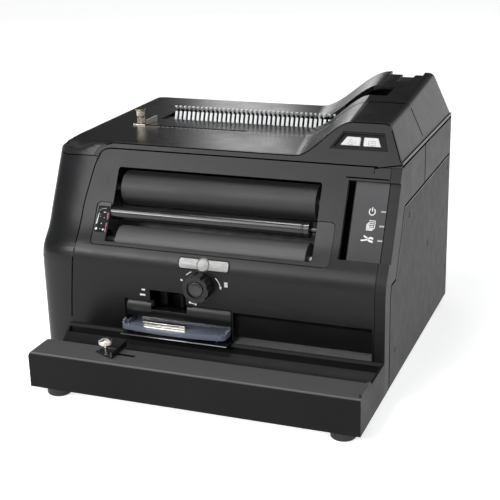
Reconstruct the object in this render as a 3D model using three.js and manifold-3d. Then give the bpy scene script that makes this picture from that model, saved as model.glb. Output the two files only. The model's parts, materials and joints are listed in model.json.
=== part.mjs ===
// Coil binding machine for an office or shop counter. Two rubber rollers behind a wide window turn a plastic
// coil into a punched book, and a crimper under them cuts and bends the coil's end. A comb on the top, with a
// tine and a hook for each hole, holds a coil by its turns.
// Millimetres, +X to the right, +Y to the back, +Z up, origin on the floor under the middle.
import * as THREE from 'three';
import { mergeVertices } from 'three/addons/utils/BufferGeometryUtils.js';
import Module from 'manifold-3d';

const wasm = await Module();
wasm.setup();

const degrees = THREE.MathUtils.degToRad;

// Driving sizes
const machineWidth = 442;
const machineDepth = 437;
const footHeight = 10;
const housingHeight = 256;
const ledgeDepth = 98.5;
const wall = 3;
const seam = 0.4;
const clearance = 0.3;
const overrun = 6;

const leftX = -machineWidth / 2;
const rightX = machineWidth / 2;
const frontY = -machineDepth / 2;
const backY = machineDepth / 2;
const faceY = frontY + ledgeDepth;
const bottomZ = footHeight;
const topZ = bottomZ + housingHeight;

// Front profile: upright at the foot, a swelling, then a straight slope up to the top
const bulgeFootShare = 0.4375;
const bulgeRise = 62;
const bulgeDepth = 28.6;
const bulgeLowerPull = 34;
const bulgeUpperPull = 35;
const slopeAngle = degrees(62.4);
const sideRound = 22;
const backRound = 6;
const bulgeSteps = 10;
const roundSteps = 6;

const bulgeFootZ = bottomZ + housingHeight * bulgeFootShare;
const slopeStartY = faceY + bulgeDepth;
const slopeStartZ = bulgeFootZ + bulgeRise;

// Tower: its left side is a long S-shaped curve, its right side a steep chamfer
const towerToeFrontInset = 131;
const towerToeFrontX = rightX - towerToeFrontInset;
const towerToeBackInset = 179;
const towerToeBackX = rightX - towerToeBackInset;
const towerCrestFrontInset = 64;
const towerCrestFrontX = rightX - towerCrestFrontInset;
const towerCrestBackInset = 82;
const towerCrestBackX = rightX - towerCrestBackInset;
const crestFrontHeight = 38.4;
const crestBackHeight = 47.4;
const railRise = 4;
const shoulderRound = 9;
const chamferAngle = degrees(65.4);
const sideSeamDrop = 5;
const towerSteps = 14;

const sideSeamZ = topZ - sideSeamDrop;

// Seams of the housing
const topSeamShare = 0.5110783;
const topSeamY = faceY + (backY - faceY) * topSeamShare;
const towerSeamStep = 12.5;
const towerSeamY = topSeamY + towerSeamStep;
const seamBendStartInset = 221;
const seamBendStartX = rightX - seamBendStartInset;
const seamBendEndInset = 71;
const seamBendEndX = rightX - seamBendEndInset;
const leftSeamDrop = 16;
const leftSeamZ = topZ - leftSeamDrop;

// Fascia
const fasciaTopDrop = 7;
const fasciaFootHeight = 30;
const frameStripWidth = 12.4;
const edgeFootInset = 45.1;
const edgeLean = 16.5;
const edgeFootHeight = 42;
const fasciaCornerDrop = 14;
const fasciaCornerRun = 18;
const fasciaCornerPullShare = 0.12;
const edgeHeightShares = [0, 0.166, 0.404, 0.528, 0.756, 1];
const edgeLeanShares = [0, 0.15, 0.418, 0.54, 0.576, 1];
const lipWidth = 5.5;

const fasciaTopZ = topZ - fasciaTopDrop;
const fasciaFootZ = bottomZ + fasciaFootHeight;
const fasciaRightX = rightX - frameStripWidth;

// Window and its guard
const windowLeftInset = 93.6;
const windowLeftX = leftX + windowLeftInset;
const windowRightInset = 90;
const windowRightX = rightX - windowRightInset;
const windowFootDrop = 26;
const windowFootZ = slopeStartZ - windowFootDrop;
const windowTopDrop = 26.3;
const windowTopZ = topZ - windowTopDrop;
const windowRound = 3;
const guardLeftReach = 21.3;
const guardLeftX = windowLeftX - guardLeftReach;
const guardRightReach = 21.6;
const guardRightX = windowRightX + guardRightReach;
const guardFootReach = 4.5;
const guardFootZ = windowFootZ - guardFootReach;
const guardTopRise = 16;
const guardTopZ = slopeStartZ + guardTopRise;
const guardRound = 5;
const guardSink = 1.2;
const gaugeLeftInset = 2.2;
const gaugeLeftX = guardLeftX + gaugeLeftInset;
const gaugeRightGap = 4.1;
const gaugeRightX = windowLeftX - gaugeRightGap;
const gaugeFootRise = 13.5;
const gaugeFootZ = guardFootZ + gaugeFootRise;
const gaugeTopDrop = 4;
const gaugeTopZ = guardTopZ - gaugeTopDrop;
const gaugeThickness = 0.7;
const gaugeSink = 0.2;

// Control panel recess, open to the right
const panelWidth = 59.4;
const panelLeftX = rightX - panelWidth;
const panelFootDrop = 20.5;
const panelFootZ = slopeStartZ - panelFootDrop;
const panelTopDrop = 21.6;
const panelTopZ = topZ - panelTopDrop;
const panelDepth = 4.5;
const panelThickness = 3;
const panelRim = 3.5;
const grooveWidth = 8.4;
const grooveDepth = 1.5;

// Rollers and the idler bar
const upperRollerSetback = 70.4;
const upperRollerY = faceY + upperRollerSetback;
const upperRollerRise = 27;
const upperRollerZ = slopeStartZ + upperRollerRise;
const upperRollerRadius = 21.3;
const lowerRollerSetback = 38;
const lowerRollerY = faceY + lowerRollerSetback;
const lowerRollerRise = 29.5;
const lowerRollerZ = bulgeFootZ + lowerRollerRise;
const lowerRollerRadius = 20;
const idlerSetback = 42.5;
const idlerY = faceY + idlerSetback;
const idlerRise = 3;
const idlerZ = slopeStartZ + idlerRise;
const idlerRadius = 9.3;
const rollerLeftGap = 5;
const rollerLeftX = windowLeftX + rollerLeftGap;
const rollerRightGap = 6.4;
const rollerRightX = windowRightX - rollerRightGap;
const lowerRollerInset = 3;
const rollerShaftRadius = 6;
const idlerLeftReach = 2.6;
const idlerLeftX = windowLeftX - idlerLeftReach;
const idlerRightGap = 9.5;
const idlerRightX = windowRightX - idlerRightGap;
const idlerStubRadius = 3;
const rollerSides = 32;
const pulleySides = 24;
const shaftSides = 20;

// Bearing plates and the sheet behind the rollers
const plateThickness = 3;
const leftPlateReach = 16.6;
const leftPlateX = windowLeftX - leftPlateReach;
const rightPlateReach = 13;
const rightPlateX = windowRightX + rightPlateReach;
const plateSetback = 4.5;
const plateDepth = 180;
const plateBackY = faceY + plateDepth;
const plateTopDrop = 14;
const bushFlange = 4;
const bushWall = 3;
const bushFlangeThickness = 1.5;
const baySheetThickness = 1.5;
const lowerBayStart = degrees(205);
const lowerBaySweep = degrees(120);
const upperBayStart = degrees(-35);
const upperBaySweep = degrees(126);

// Belt drive
const pulleyGap = 3;
const pulleyWidth = 6;
const flangeWidth = 1.2;
const flangeRise = 2.5;
const upperPulleyRadius = 14;
const lowerPulleyRadius = 13;
const motorPulleyRadius = 9;
const beltThickness = 1.6;
const motorSetback = 132;
const motorY = faceY + motorSetback;
const motorRise = 94;
const motorZ = bottomZ + motorRise;
const motorRadius = 22;
const motorLength = 62;
const motorShaftRadius = 4;
const motorNeckRadius = 9;

// Chute cover, crimper and scrap tray
const chuteLeftX = -100.4;
const chuteRightX = 37.1;
const chuteTopDrop = 29;
const chuteTopZ = bulgeFootZ - chuteTopDrop;
const chuteUprightDrop = 10;
const chuteDepth = 24;
const chuteWall = 2.4;
const throatLeftX = -66.8;
const throatRightX = -20.4;
const throatStepWidth = 3.4;
const throatStepHeight = 12;
const throatDipDepth = 5;
const throatDipLeftInset = 13;
const throatDipRightInset = 15;
const dipSteps = 6;
const throatFootDrop = 40;
const throatFootZ = bulgeFootZ - throatFootDrop;
const throatTopDrop = 14.5;
const throatTopZ = bulgeFootZ - throatTopDrop;
const crimperWall = 6;
const crimperDepth = 54;
const crimperThroatDepth = 30;
const anvilRadius = 4;
const jawWidth = 10;
const jawDepth = 14;
const jawTravel = 9;
const jawTailWidth = 6;
const jawTailHeight = 6;
const crimpMotorRadius = 15;
const crimpMotorLength = 46;
const trayHeightShare = 0.35;
const trayReach = 15;
const trayWall = 1.4;
const trayBackGap = 2;
const trayRound = 7;
const trayBow = 4.5;
const trayBowSteps = 8;
const trayFlare = 3.6;
const trayEarHeight = 2;
const trayEarLength = 7;
const trayRunnerHeight = 5;
const trayRunnerInset = 12;
const trayRunnerWidth = 2;
const shelfThickness = 1.6;
const shelfReach = 17.5;
const trayBarHeight = 5;
const trayBarWidth = 4;
const trayBarReach = 2;
const trayBarLeftX = -77;
const trayBarRightX = -22;

// Long recess right of the chute
const slotRightInset = 15;
const slotRightX = rightX - slotRightInset;
const slotTopDrop = 31;
const slotTopZ = bulgeFootZ - slotTopDrop;
const slotDepth = 7.5;
const slotLipRise = 5.5;
const slotRound = 7;
const slotWall = 2;

// Front ledge
const ledgeHeightShare = 0.17578125;
const ledgeLeftInset = 41.3;
const ledgeLeftX = leftX + ledgeLeftInset;
const ledgeRound = 5;
const ledgeEndRound = 6;
const ledgeEndShare = 0.3;
const ledgeFlatDepth = 38.5;
const ledgeTroughDepth = 21;
const ledgeRidgeDrop = 2.4;
const ledgeRidgeWidth = 2;
const endPlateRise = 2;
const endPlateDrop = 3.5;
const troughSteps = 12;

const ledgeTopZ = bottomZ + housingHeight * ledgeHeightShare;
const chuteFootRise = 5;
const chuteFootZ = ledgeTopZ + chuteFootRise;
const trayHeight = (chuteTopZ - chuteFootZ) * trayHeightShare;

// Edge stop on the ledge
const ledgeSlotInset = 77.2;
const ledgeSlotLeftX = ledgeLeftX + ledgeSlotInset;
const ledgeSlotLength = 50;
const ledgeSlotRightX = ledgeSlotLeftX + ledgeSlotLength;
const ledgeSlotSetback = 24;
const ledgeSlotY = frontY + ledgeSlotSetback;
const stopSlotWidth = 4.6;
const stopRestTravel = 13;
const ledgeStopX = ledgeSlotLeftX + stopRestTravel;
const stopStemRadius = 1.9;
const stopNutRadius = 5;
const stopNutHeight = 3;
const stopPlateThickness = 1.5;
const ledgeHeadRadius = 8;
const ledgeHeadGap = 10.6;
const ledgeHeadHeight = 6;
const ledgeHeadDome = 2.2;
const ledgeHeadChamfer = 0.8;
const ledgeCollarRadius = 3.5;
const ledgeCollarHeight = 3.2;
const ledgePlateLeftReach = 9.3;
const ledgePlateRightReach = 14.7;
const ledgePlateFrontReach = 14.5;
const ledgePlateCornerReach = 4.2;
const ledgePlateBackReach = 6;
const ledgeBladeHeight = 7;
const ledgeBladeThickness = 2;
const ledgeBladeReach = 24;

// Edge stop on the top
const topSlotLeftInset = 58.5;
const topSlotLeftX = leftX + topSlotLeftInset;
const topSlotRightInset = 224;
const topSlotRightX = rightX - topSlotRightInset;
const topSlotSetback = 5;
const topStopX = topSlotLeftX + stopRestTravel;
const topBodyGap = 2.4;
const topBodyRadius = 5.2;
const topLowerBodyHeight = 7.4;
const topWaistRadius = 4.3;
const topWaistHeight = 1.6;
const topUpperBodyHeight = 8;
const topDiscRadius = 6.8;
const topDiscHeight = 1.7;
const topPlateLeftReach = 9.5;
const topPlateRightReach = 7.5;
const topPlateHalfDepth = 5;
const topBladeGap = 0.4;
const topBladeSetback = 1;
const topBladeTurn = degrees(20);
const topBladeLength = 20;
const topBladeThickness = 1.5;
const topBladeFrontHeight = 6;
const topBladeBackHeight = 9;

// Comb: a row of tines, and behind it a row of hooks that lean forward over them
const combPitch = 6.24;
const combFirstInset = 98.8;
const combFirstX = leftX + combFirstInset;
const combSetback = 42.7;
const combFootY = topSeamY + combSetback;
const tineWidth = 3.4;
const tineThickness = 1.6;
const tineRise = 8.9;
const tineLean = 3.7;
const hookWidth = 2.9;
const hookThickness = 1.8;
const hookSetback = 10.3;
const hookBendRise = 7.4;
const hookTipRise = 14.2;
const hookReach = 7.7;
const hookTipLength = 2;
const combRailHeight = 5;
const combRailDepth = 22;
const combRailLap = 7;
const combSlotLeftReach = 18.6;
const combSlotLeftX = combFirstX - combSlotLeftReach;
const combSlotFrontGap = 8.7;
const combSlotFrontY = combFootY - combSlotFrontGap;
const combSlotDepth = 44;
const combSlotBackY = combSlotFrontY + combSlotDepth;
const combSlotSlant = 2;
const combEndInset = 124;
const combEndX = rightX - combEndInset;
const combCount = Math.floor((combEndX - combFirstX) / combPitch) + 1;
const combSlotTurnGap = 4;
const combSlotTurnX = combEndX + combSlotTurnGap;
const towerWindowLeftInset = 87;
const towerWindowLeftX = rightX - towerWindowLeftInset;
const towerWindowRightInset = 58;
const towerWindowRightX = rightX - towerWindowRightInset;
const towerWindowSetback = 47;
const towerWindowFrontY = topSeamY + towerWindowSetback;
const towerWindowDepth = 47;
const towerWindowBackY = towerWindowFrontY + towerWindowDepth;

// Rails and channel on the rear of the tower
const channelLeftInset = 80;
const channelLeftX = rightX - channelLeftInset;
const channelFrontInset = 28;
const channelFrontRightX = rightX - channelFrontInset;
const channelBackInset = 37;
const channelBackRightX = rightX - channelBackInset;
const channelSetback = 6;
const rearNotchLeftInset = 66;
const rearNotchLeftX = rightX - rearNotchLeftInset;
const rearNotchRightInset = 49;
const rearNotchRightX = rightX - rearNotchRightInset;
const rearNotchDepth = 38;
const rearNotchSink = 3;

// Buttons on the front of the tower
const bezelFootRise = 9.7;
const bezelFootZ = topZ + bezelFootRise;
const bezelHeight = 18.3;
const bezelTopZ = bezelFootZ + bezelHeight;
const bezelLeftInset = 87.7;
const bezelLeftX = rightX - bezelLeftInset;
const bezelRightInset = 19;
const bezelRightX = rightX - bezelRightInset;
const bezelLeftLean = 14;
const bezelRightLean = 6;
const bezelDepth = 2.4;
const bezelThickness = 1.6;
const buttonFootRise = 4.3;
const buttonFootZ = bezelFootZ + buttonFootRise;
const buttonLength = 8.8;
const buttonTopZ = buttonFootZ + buttonLength;
const buttonLeftInset = 12.3;
const buttonLeftX = bezelLeftX + buttonLeftInset;
const buttonMiddleInset = 37.3;
const buttonMiddleX = bezelLeftX + buttonMiddleInset;
const buttonRightInset = 9;
const buttonRightX = bezelRightX - buttonRightInset;
const buttonGap = 4;
const buttonLeftLean = 7;
const buttonRightLean = 4;
const buttonHeight = 5;
const buttonTravel = 1.2;
const buttonBoardGap = 3.6;
const bezelPostInset = 9;
const bezelPostSide = 2.4;
const boardThickness = 1.6;

// Speed knob
const knobX = 0;
const knobDrop = 1;
const knobZ = bulgeFootZ - knobDrop;
const knobRadius = 16.3;
const knobHeight = 16;
const knobScallops = 8;
const knobScallopDepth = 1.6;
const knobScallopTurn = degrees(12);
const knobRingRadius = 10.9;
const knobRingWidth = 2;
const knobRingDepth = 2.4;
const knobCapRadius = knobRingRadius - knobRingWidth;
const knobCapSink = 0.8;
const knobCapThickness = 2.4;
const knobShaftRadius = 3;
const potRadius = 8;
const potDepth = 14;
const knobSides = 64;

// Right side
const sidePanelSetback = 22;
const sidePanelFootY = faceY + sidePanelSetback;
const sidePanelKneeDrop = 2;
const sidePanelKneeZ = bulgeFootZ - sidePanelKneeDrop;
const sidePanelKneeRun = 4;
const sidePanelStepRise = 16;
const sidePanelStepZ = sidePanelKneeZ + sidePanelStepRise;
const sidePanelStepRun = 25;
const sidePanelStepY = sidePanelFootY + sidePanelStepRun;
const sidePanelTopRun = 37;
const sidePanelTopFrontY = sidePanelStepY + sidePanelTopRun;
const sidePanelTopDrop = 54.5;
const sidePanelTopZ = topZ - sidePanelTopDrop;

// Inner pieces
const panThickness = 2;
const supplyWidth = 110;
const supplyHeight = 42;
const supplyInset = 91;
const supplyX = leftX + supplyInset;
const supplyFrontGap = 5;
const supplyFrontY = plateBackY + supplyFrontGap;
const supplyBackInset = 33.5;
const supplyBackY = backY - supplyBackInset;
const boardGap = 60;
const boardLeftX = supplyX + supplyWidth / 2 + boardGap;
const boardInset = 86;
const boardRightX = rightX - boardInset;
const boardWidth = boardRightX - boardLeftX;
const boardDepth = 110;
const boardSetback = 88.5;
const boardY = backY - boardSetback;
const boardStand = 12;
const standRadius = 3;
const chipHeight = 5;
const chipShares = [0.2, 0.45, 0.7];
const chipWidthShare = 0.12;
const chipFrontShare = 0.2;
const chipBackShare = 0.1;
const inletWidth = 27;
const inletHeight = 20;
const inletInset = 71;
const inletX = leftX + inletInset;
const inletRise = 50;
const inletZ = bottomZ + inletRise;
const inletDepth = 24;
const inletFlange = 5;
const inletFlangeThickness = 2;
const inletWall = 2.5;
const inletPinLength = 10;
const inletPinSide = 2;
const inletPinPitch = 7;
const inletRowShare = 0.3;
const ventWidth = 3;
const ventHeight = 40;
const ventPitch = 9;
const ventCount = 14;
const ventInset = 201;
const ventFirstX = rightX - ventInset;
const ventRise = 140;
const ventZ = bottomZ + ventRise;

// Feet
const footRadius = 14.5;
const footTaper = 1.5;
const footSides = 28;
const footLeftInset = 71;
const footLeftX = leftX + footLeftInset;
const footRightInset = 23;
const footRightX = rightX - footRightInset;
const footFrontInset = 15.5;
const footBackInset = 30;

// Solids from three.js geometry, and back

function solid(geometry) {
  const bare = geometry.index ? geometry.toNonIndexed() : geometry.clone();
  bare.deleteAttribute('normal');
  bare.deleteAttribute('uv');
  const merged = mergeVertices(bare, 1e-4);
  if (volumeOf(merged) < 0) {
    turnInsideOut(merged);
  }
  return new wasm.Manifold(new wasm.Mesh({
    numProp: 3,
    vertProperties: new Float32Array(merged.attributes.position.array),
    triVerts: new Uint32Array(merged.index.array),
  }));
}

function geometryOf(body) {
  const mesh = body.getMesh();
  const geometry = new THREE.BufferGeometry();
  geometry.setAttribute('position', new THREE.BufferAttribute(new Float32Array(mesh.vertProperties), 3));
  geometry.setIndex(new THREE.BufferAttribute(new Uint32Array(mesh.triVerts), 1));
  geometry.computeVertexNormals();
  return geometry;
}

function box(x0, x1, y0, y1, z0, z1) {
  const geometry = new THREE.BoxGeometry(x1 - x0, y1 - y0, z1 - z0);
  geometry.translate((x0 + x1) / 2, (y0 + y1) / 2, (z0 + z1) / 2);
  return solid(geometry);
}

function prism(points, depth) {
  const shape = new THREE.Shape(points.map(([u, v]) => new THREE.Vector2(u, v)));
  return new THREE.ExtrudeGeometry(shape, { depth, bevelEnabled: false });
}

// Outline points are [y, z]
function alongX(points, x0, x1) {
  const geometry = prism(points, x1 - x0);
  geometry.applyMatrix4(new THREE.Matrix4().set(0, 0, 1, x0, 1, 0, 0, 0, 0, 1, 0, 0, 0, 0, 0, 1));
  return solid(geometry);
}

// Outline points are [x, z]
function alongY(points, y0, y1) {
  const geometry = prism(points, y1 - y0);
  geometry.rotateX(Math.PI / 2);
  geometry.translate(0, y1, 0);
  return solid(geometry);
}

// Outline points are [x, y]
function alongZ(points, z0, z1) {
  const geometry = prism(points, z1 - z0);
  geometry.translate(0, 0, z0);
  return solid(geometry);
}

function circle(u, v, radius, sides) {
  const points = [];
  for (let i = 0; i < sides; i += 1) {
    const turn = (2 * Math.PI * i) / sides;
    points.push([u + radius * Math.cos(turn), v + radius * Math.sin(turn)]);
  }
  return points;
}

// Turned shape: profile points are [radius, length along the axis]. The ring closes on itself or on the axis.
function turned(profile, sides) {
  return new THREE.LatheGeometry(profile.map(([r, h]) => new THREE.Vector2(r, h)), sides);
}

function turnedAlongX(profile, y, z, sides) {
  const geometry = turned(profile, sides);
  geometry.rotateZ(-Math.PI / 2);
  geometry.translate(0, y, z);
  return solid(geometry);
}

function turnedAlongZ(profile, x, y, sides) {
  const geometry = turned(profile, sides);
  geometry.rotateX(Math.PI / 2);
  geometry.translate(x, y, 0);
  return solid(geometry);
}

function rounded(u0, u1, v0, v1, radius, steps = 3) {
  const points = [];
  const corners = [[u1 - radius, v1 - radius, 0], [u0 + radius, v1 - radius, 1],
    [u0 + radius, v0 + radius, 2], [u1 - radius, v0 + radius, 3]];
  for (const [u, v, quarter] of corners) {
    for (let i = 0; i <= steps; i += 1) {
      const turn = (Math.PI / 2) * (quarter + i / steps);
      points.push([u + radius * Math.cos(turn), v + radius * Math.sin(turn)]);
    }
  }
  return points;
}

function signedArea(points) {
  return THREE.ShapeUtils.area(points.map(([u, v]) => new THREE.Vector2(u, v)));
}

// The same outline, grown outwards by a distance, with mitred corners
function grown(points, distance) {
  const turn = signedArea(points) > 0 ? 1 : -1;
  return points.map((point, i) => {
    const before = points[(i + points.length - 1) % points.length];
    const after = points[(i + 1) % points.length];
    const first = new THREE.Vector2(point[0] - before[0], point[1] - before[1]).normalize();
    const second = new THREE.Vector2(after[0] - point[0], after[1] - point[1]).normalize();
    const normal = new THREE.Vector2(first.y + second.y,
      -first.x - second.x).multiplyScalar(turn).normalize();
    const spread = distance / Math.max(0.3, normal.x * first.y * turn - normal.y * first.x * turn);
    return [point[0] + normal.x * spread, point[1] + normal.y * spread];
  });
}

// An open line of points made into the outline of a sheet, thickened to its left
function sheetOutline(line, thickness) {
  const offset = line.map((point, i) => {
    const before = line[Math.max(i - 1, 0)];
    const after = line[Math.min(i + 1, line.length - 1)];
    const first = new THREE.Vector2(point[0] - before[0], point[1] - before[1]);
    const second = new THREE.Vector2(after[0] - point[0], after[1] - point[1]);
    const a = (i === 0 ? second : first).normalize();
    const b = (i === line.length - 1 ? a : second).normalize();
    const normal = new THREE.Vector2(-a.y - b.y, a.x + b.x).normalize();
    const spread = thickness / Math.max(0.3, normal.x * -a.y + normal.y * a.x);
    return [point[0] + normal.x * spread, point[1] + normal.y * spread];
  });
  return [...line, ...offset.reverse()];
}

// A solid through matching rings of points, with flat ends
function loft(rings) {
  const count = rings[0].length;
  const positions = rings.flat().flatMap((p) => [p.x, p.y, p.z]);
  const index = [];
  for (let ring = 0; ring + 1 < rings.length; ring += 1) {
    for (let i = 0; i < count; i += 1) {
      const a = ring * count + i;
      const b = ring * count + ((i + 1) % count);
      index.push(a, b, b + count, a, b + count, a + count);
    }
  }
  for (const [ring, flipped] of [[0, true], [rings.length - 1, false]]) {
    const points = rings[ring];
    const u = points[1].clone().sub(points[0]).normalize();
    const normal = new THREE.Vector3();
    for (let i = 0; i < count; i += 1) {
      normal.add(points[i].clone().cross(points[(i + 1) % count]));
    }
    const v = normal.normalize().cross(u);
    const flat = points.map((p) => new THREE.Vector2(p.dot(u), p.dot(v)));
    for (const [a, b, c] of THREE.ShapeUtils.triangulateShape(flat, [])) {
      const face = flipped ? [c, b, a] : [a, b, c];
      index.push(...face.map((i) => i + ring * count));
    }
  }
  const geometry = new THREE.BufferGeometry();
  geometry.setAttribute('position', new THREE.Float32BufferAttribute(positions, 3));
  geometry.setIndex(index);
  return solid(geometry);
}

function volumeOf(geometry) {
  const position = geometry.attributes.position;
  const order = geometry.index.array;
  const [a, b, c] = [new THREE.Vector3(), new THREE.Vector3(), new THREE.Vector3()];
  let sum = 0;
  for (let i = 0; i < order.length; i += 3) {
    a.fromBufferAttribute(position, order[i]);
    b.fromBufferAttribute(position, order[i + 1]);
    c.fromBufferAttribute(position, order[i + 2]);
    sum += a.dot(b.cross(c)) / 6;
  }
  return sum;
}

function turnInsideOut(geometry) {
  const order = Array.from(geometry.index.array);
  for (let i = 0; i < order.length; i += 3) {
    [order[i], order[i + 2]] = [order[i + 2], order[i]];
  }
  geometry.setIndex(order);
}

// Front slope: a height on it, a depth under it, and prisms square to it

function slopeY(z) {
  return slopeStartY + (z - slopeStartZ) / Math.tan(slopeAngle);
}

function slopePoint(x, z, lift) {
  return new THREE.Vector3(x, slopeY(z) - lift * Math.sin(slopeAngle), z + lift * Math.cos(slopeAngle));
}

// Outline points are [x, z] on the slope; low and high are heights over it, square to it
function onSlope(points, low, high) {
  return loft([low, high].map((lift) => points.map(([x, z]) => slopePoint(x, z, lift))));
}

// Housing: outer and inner bodies

function frontCurve(inset, last) {
  const curve = new THREE.CubicBezierCurve(
    new THREE.Vector2(faceY, bulgeFootZ),
    new THREE.Vector2(faceY, bulgeFootZ + bulgeLowerPull),
    new THREE.Vector2(
      slopeStartY - bulgeUpperPull * Math.cos(slopeAngle),
      slopeStartZ - bulgeUpperPull * Math.sin(slopeAngle),
    ),
    new THREE.Vector2(slopeStartY, slopeStartZ),
  );
  const points = curve.getPoints(bulgeSteps).map((p) => [p.x + inset, p.y]);
  points.push([slopeY(last) + inset, last]);
  return points;
}

function housing(skin, foot) {
  const rings = [];
  const section = (x, inset, backInset) => {
    const outline = [[faceY + inset, foot], ...frontCurve(inset, topZ - inset),
      [backY - backInset, topZ - inset], [backY - backInset, foot]];
    rings.push(outline.map(([y, z]) => new THREE.Vector3(x, y, z)));
  };
  for (let i = roundSteps; i >= 0; i -= 1) {
    const turn = (Math.PI / 2) * (i / roundSteps);
    const drawn = 1 - Math.cos(turn);
    section(leftX + skin + (sideRound - skin) * (1 - Math.sin(turn)),
      skin + (sideRound - skin) * drawn, skin + backRound * drawn);
  }
  section(rightX - skin, skin, skin);
  return loft(rings);
}

const roofZ = topZ + 2 * crestBackHeight;
const crestFrontY = slopeY(topZ + crestFrontHeight);

function along(y, atFront, atBack) {
  return atFront + ((atBack - atFront) * (y - crestFrontY)) / (backY - crestFrontY);
}

function floorZ(y) {
  return topZ + along(y, crestFrontHeight, crestBackHeight);
}

function railZ(y) {
  const share = Math.max(0, (y - towerSeamY) / (backY - towerSeamY));
  return floorZ(y) + railRise * share;
}

function towerSection(y, skin) {
  const crestZ = skin > 0 ? floorZ(y) - skin : railZ(y);
  const toeX = along(y, towerToeFrontX, towerToeBackX) + skin;
  const crestX = along(y, towerCrestFrontX, towerCrestBackX) + skin;
  const sideX = rightX - skin;
  const flankX = (z) => sideX - (z - sideSeamZ) / Math.tan(chamferAngle);
  const points = [new THREE.Vector3(toeX, y, topZ - sideRound)];
  for (let i = 0; i <= towerSteps; i += 1) {
    const share = i / towerSteps;
    const climb = share * share * (3 - 2 * share);
    const base = topZ - skin;
    points.push(new THREE.Vector3(toeX + (crestX - toeX) * share, y, base + (crestZ - base) * climb));
  }
  const round = Math.max(shoulderRound - skin, clearance);
  const tangentLength = round * Math.tan(chamferAngle / 2);
  const cornerX = flankX(crestZ);
  const centreX = cornerX - tangentLength;
  for (let i = 0; i <= 4; i += 1) {
    const turn = chamferAngle * (i / 4);
    points.push(new THREE.Vector3(centreX + round * Math.sin(turn), y,
      crestZ - round * (1 - Math.cos(turn))));
  }
  points.push(new THREE.Vector3(sideX, y, sideSeamZ));
  points.push(new THREE.Vector3(sideX, y, topZ - sideRound));
  return points;
}

function tower(skin) {
  const ys = [slopeY(topZ - sideRound) + skin, crestFrontY, towerSeamY, backY - skin];
  const block = loft(ys.map((y) => towerSection(y, skin)));
  const behindSlope = alongX([[slopeY(bottomZ) + skin, bottomZ], [slopeY(roofZ) + skin, roofZ],
    [backY + overrun, roofZ], [backY + overrun, bottomZ]], 0, rightX + overrun);
  return block.intersect(behindSlope);
}

const outer = housing(0, bottomZ).add(tower(0));
const inner = housing(wall, bottomZ - overrun).add(tower(wall));
const shell = outer.subtract(inner);

// Front outlines, points [x, z]

function fasciaOutline() {
  const edge = edgeHeightShares.map((share, i) => [
    leftX + edgeFootInset + edgeLean * edgeLeanShares[i],
    bottomZ + edgeFootHeight + (fasciaTopZ - fasciaCornerDrop - bottomZ - edgeFootHeight) * share,
  ]);
  const last = edge[edge.length - 1];
  const corner = new THREE.QuadraticBezierCurve(
    new THREE.Vector2(last[0], last[1]),
    new THREE.Vector2(last[0] + fasciaCornerRun * fasciaCornerPullShare, fasciaTopZ),
    new THREE.Vector2(last[0] + fasciaCornerRun, fasciaTopZ),
  ).getPoints(6).slice(1).map((p) => [p.x, p.y]);
  return [[fasciaRightX, fasciaFootZ], [edge[0][0], fasciaFootZ], ...edge, ...corner, [fasciaRightX,
    fasciaTopZ]];
}

const fasciaPoints = fasciaOutline();

function fasciaRing(distance) {
  return grown(fasciaPoints, distance);
}

// The strip over the fascia and the tower's front: one outline on the slope, open to the top and the right
function upperFrontOutline() {
  const pastSeam = (ring) => ring.slice(ring.findIndex(([, z]) => z > leftSeamZ), ring.length - 1);
  const lip = pastSeam(fasciaRing(seam + lipWidth));
  const foot = pastSeam(fasciaRing(seam));
  const lipEndX = lip[lip.length - 1][0];
  return [...lip, [lipEndX, roofZ], [rightX + overrun, roofZ], [rightX + overrun, fasciaTopZ + seam],
    ...foot.reverse()];
}

const upperFrontPoints = upperFrontOutline();

function windowCut(leftEdge) {
  return onSlope(rounded(leftEdge, windowRightX, windowFootZ, windowTopZ, windowRound), -3 * wall, 3 * wall);
}

const guardPoints = rounded(guardLeftX, guardRightX, guardFootZ, guardTopZ, guardRound);

function panelRecess() {
  const points = [[panelLeftX, panelFootZ], [rightX + overrun, panelFootZ], [rightX + overrun, panelTopZ],
    [panelLeftX, panelTopZ]];
  return onSlope(points, -panelDepth, 3 * wall);
}

// Profile of the long recess right of the chute, points [y, z]
function slotProfile() {
  const back = faceY + slotDepth;
  const points = [[faceY - overrun, ledgeTopZ - ledgeRidgeDrop - clearance], [faceY - overrun, slotTopZ]];
  for (let i = 0; i <= 4; i += 1) {
    const turn = (Math.PI / 2) * (i / 4);
    points.push([back - slotRound * (1 - Math.sin(turn)), slotTopZ - slotRound * (1 - Math.cos(turn))]);
  }
  points.push([back, ledgeTopZ - ledgeRidgeDrop + slotLipRise]);
  points.push([faceY, ledgeTopZ - ledgeRidgeDrop]);
  return points;
}

// Throat of the crimper: narrower in its lower part, with a rounded dip in its lower edge, points [x, z]
function throatOutline() {
  const stepX = throatLeftX + throatStepWidth;
  const dipLeft = throatLeftX + throatDipLeftInset;
  const dipRight = throatRightX - throatDipRightInset;
  const dip = [];
  for (let i = 0; i <= dipSteps; i += 1) {
    const turn = Math.PI * (i / dipSteps);
    dip.push([(dipLeft + dipRight) / 2 - ((dipRight - dipLeft) / 2) * Math.cos(turn),
      throatFootZ - throatDipDepth * Math.sin(turn)]);
  }
  return [[stepX, throatFootZ], ...dip, [throatRightX, throatFootZ], [throatRightX, throatTopZ],
    [throatLeftX, throatTopZ], [throatLeftX, throatFootZ + throatStepHeight],
    [stepX, throatFootZ + throatStepHeight]];
}

const throatPoints = throatOutline();

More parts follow.
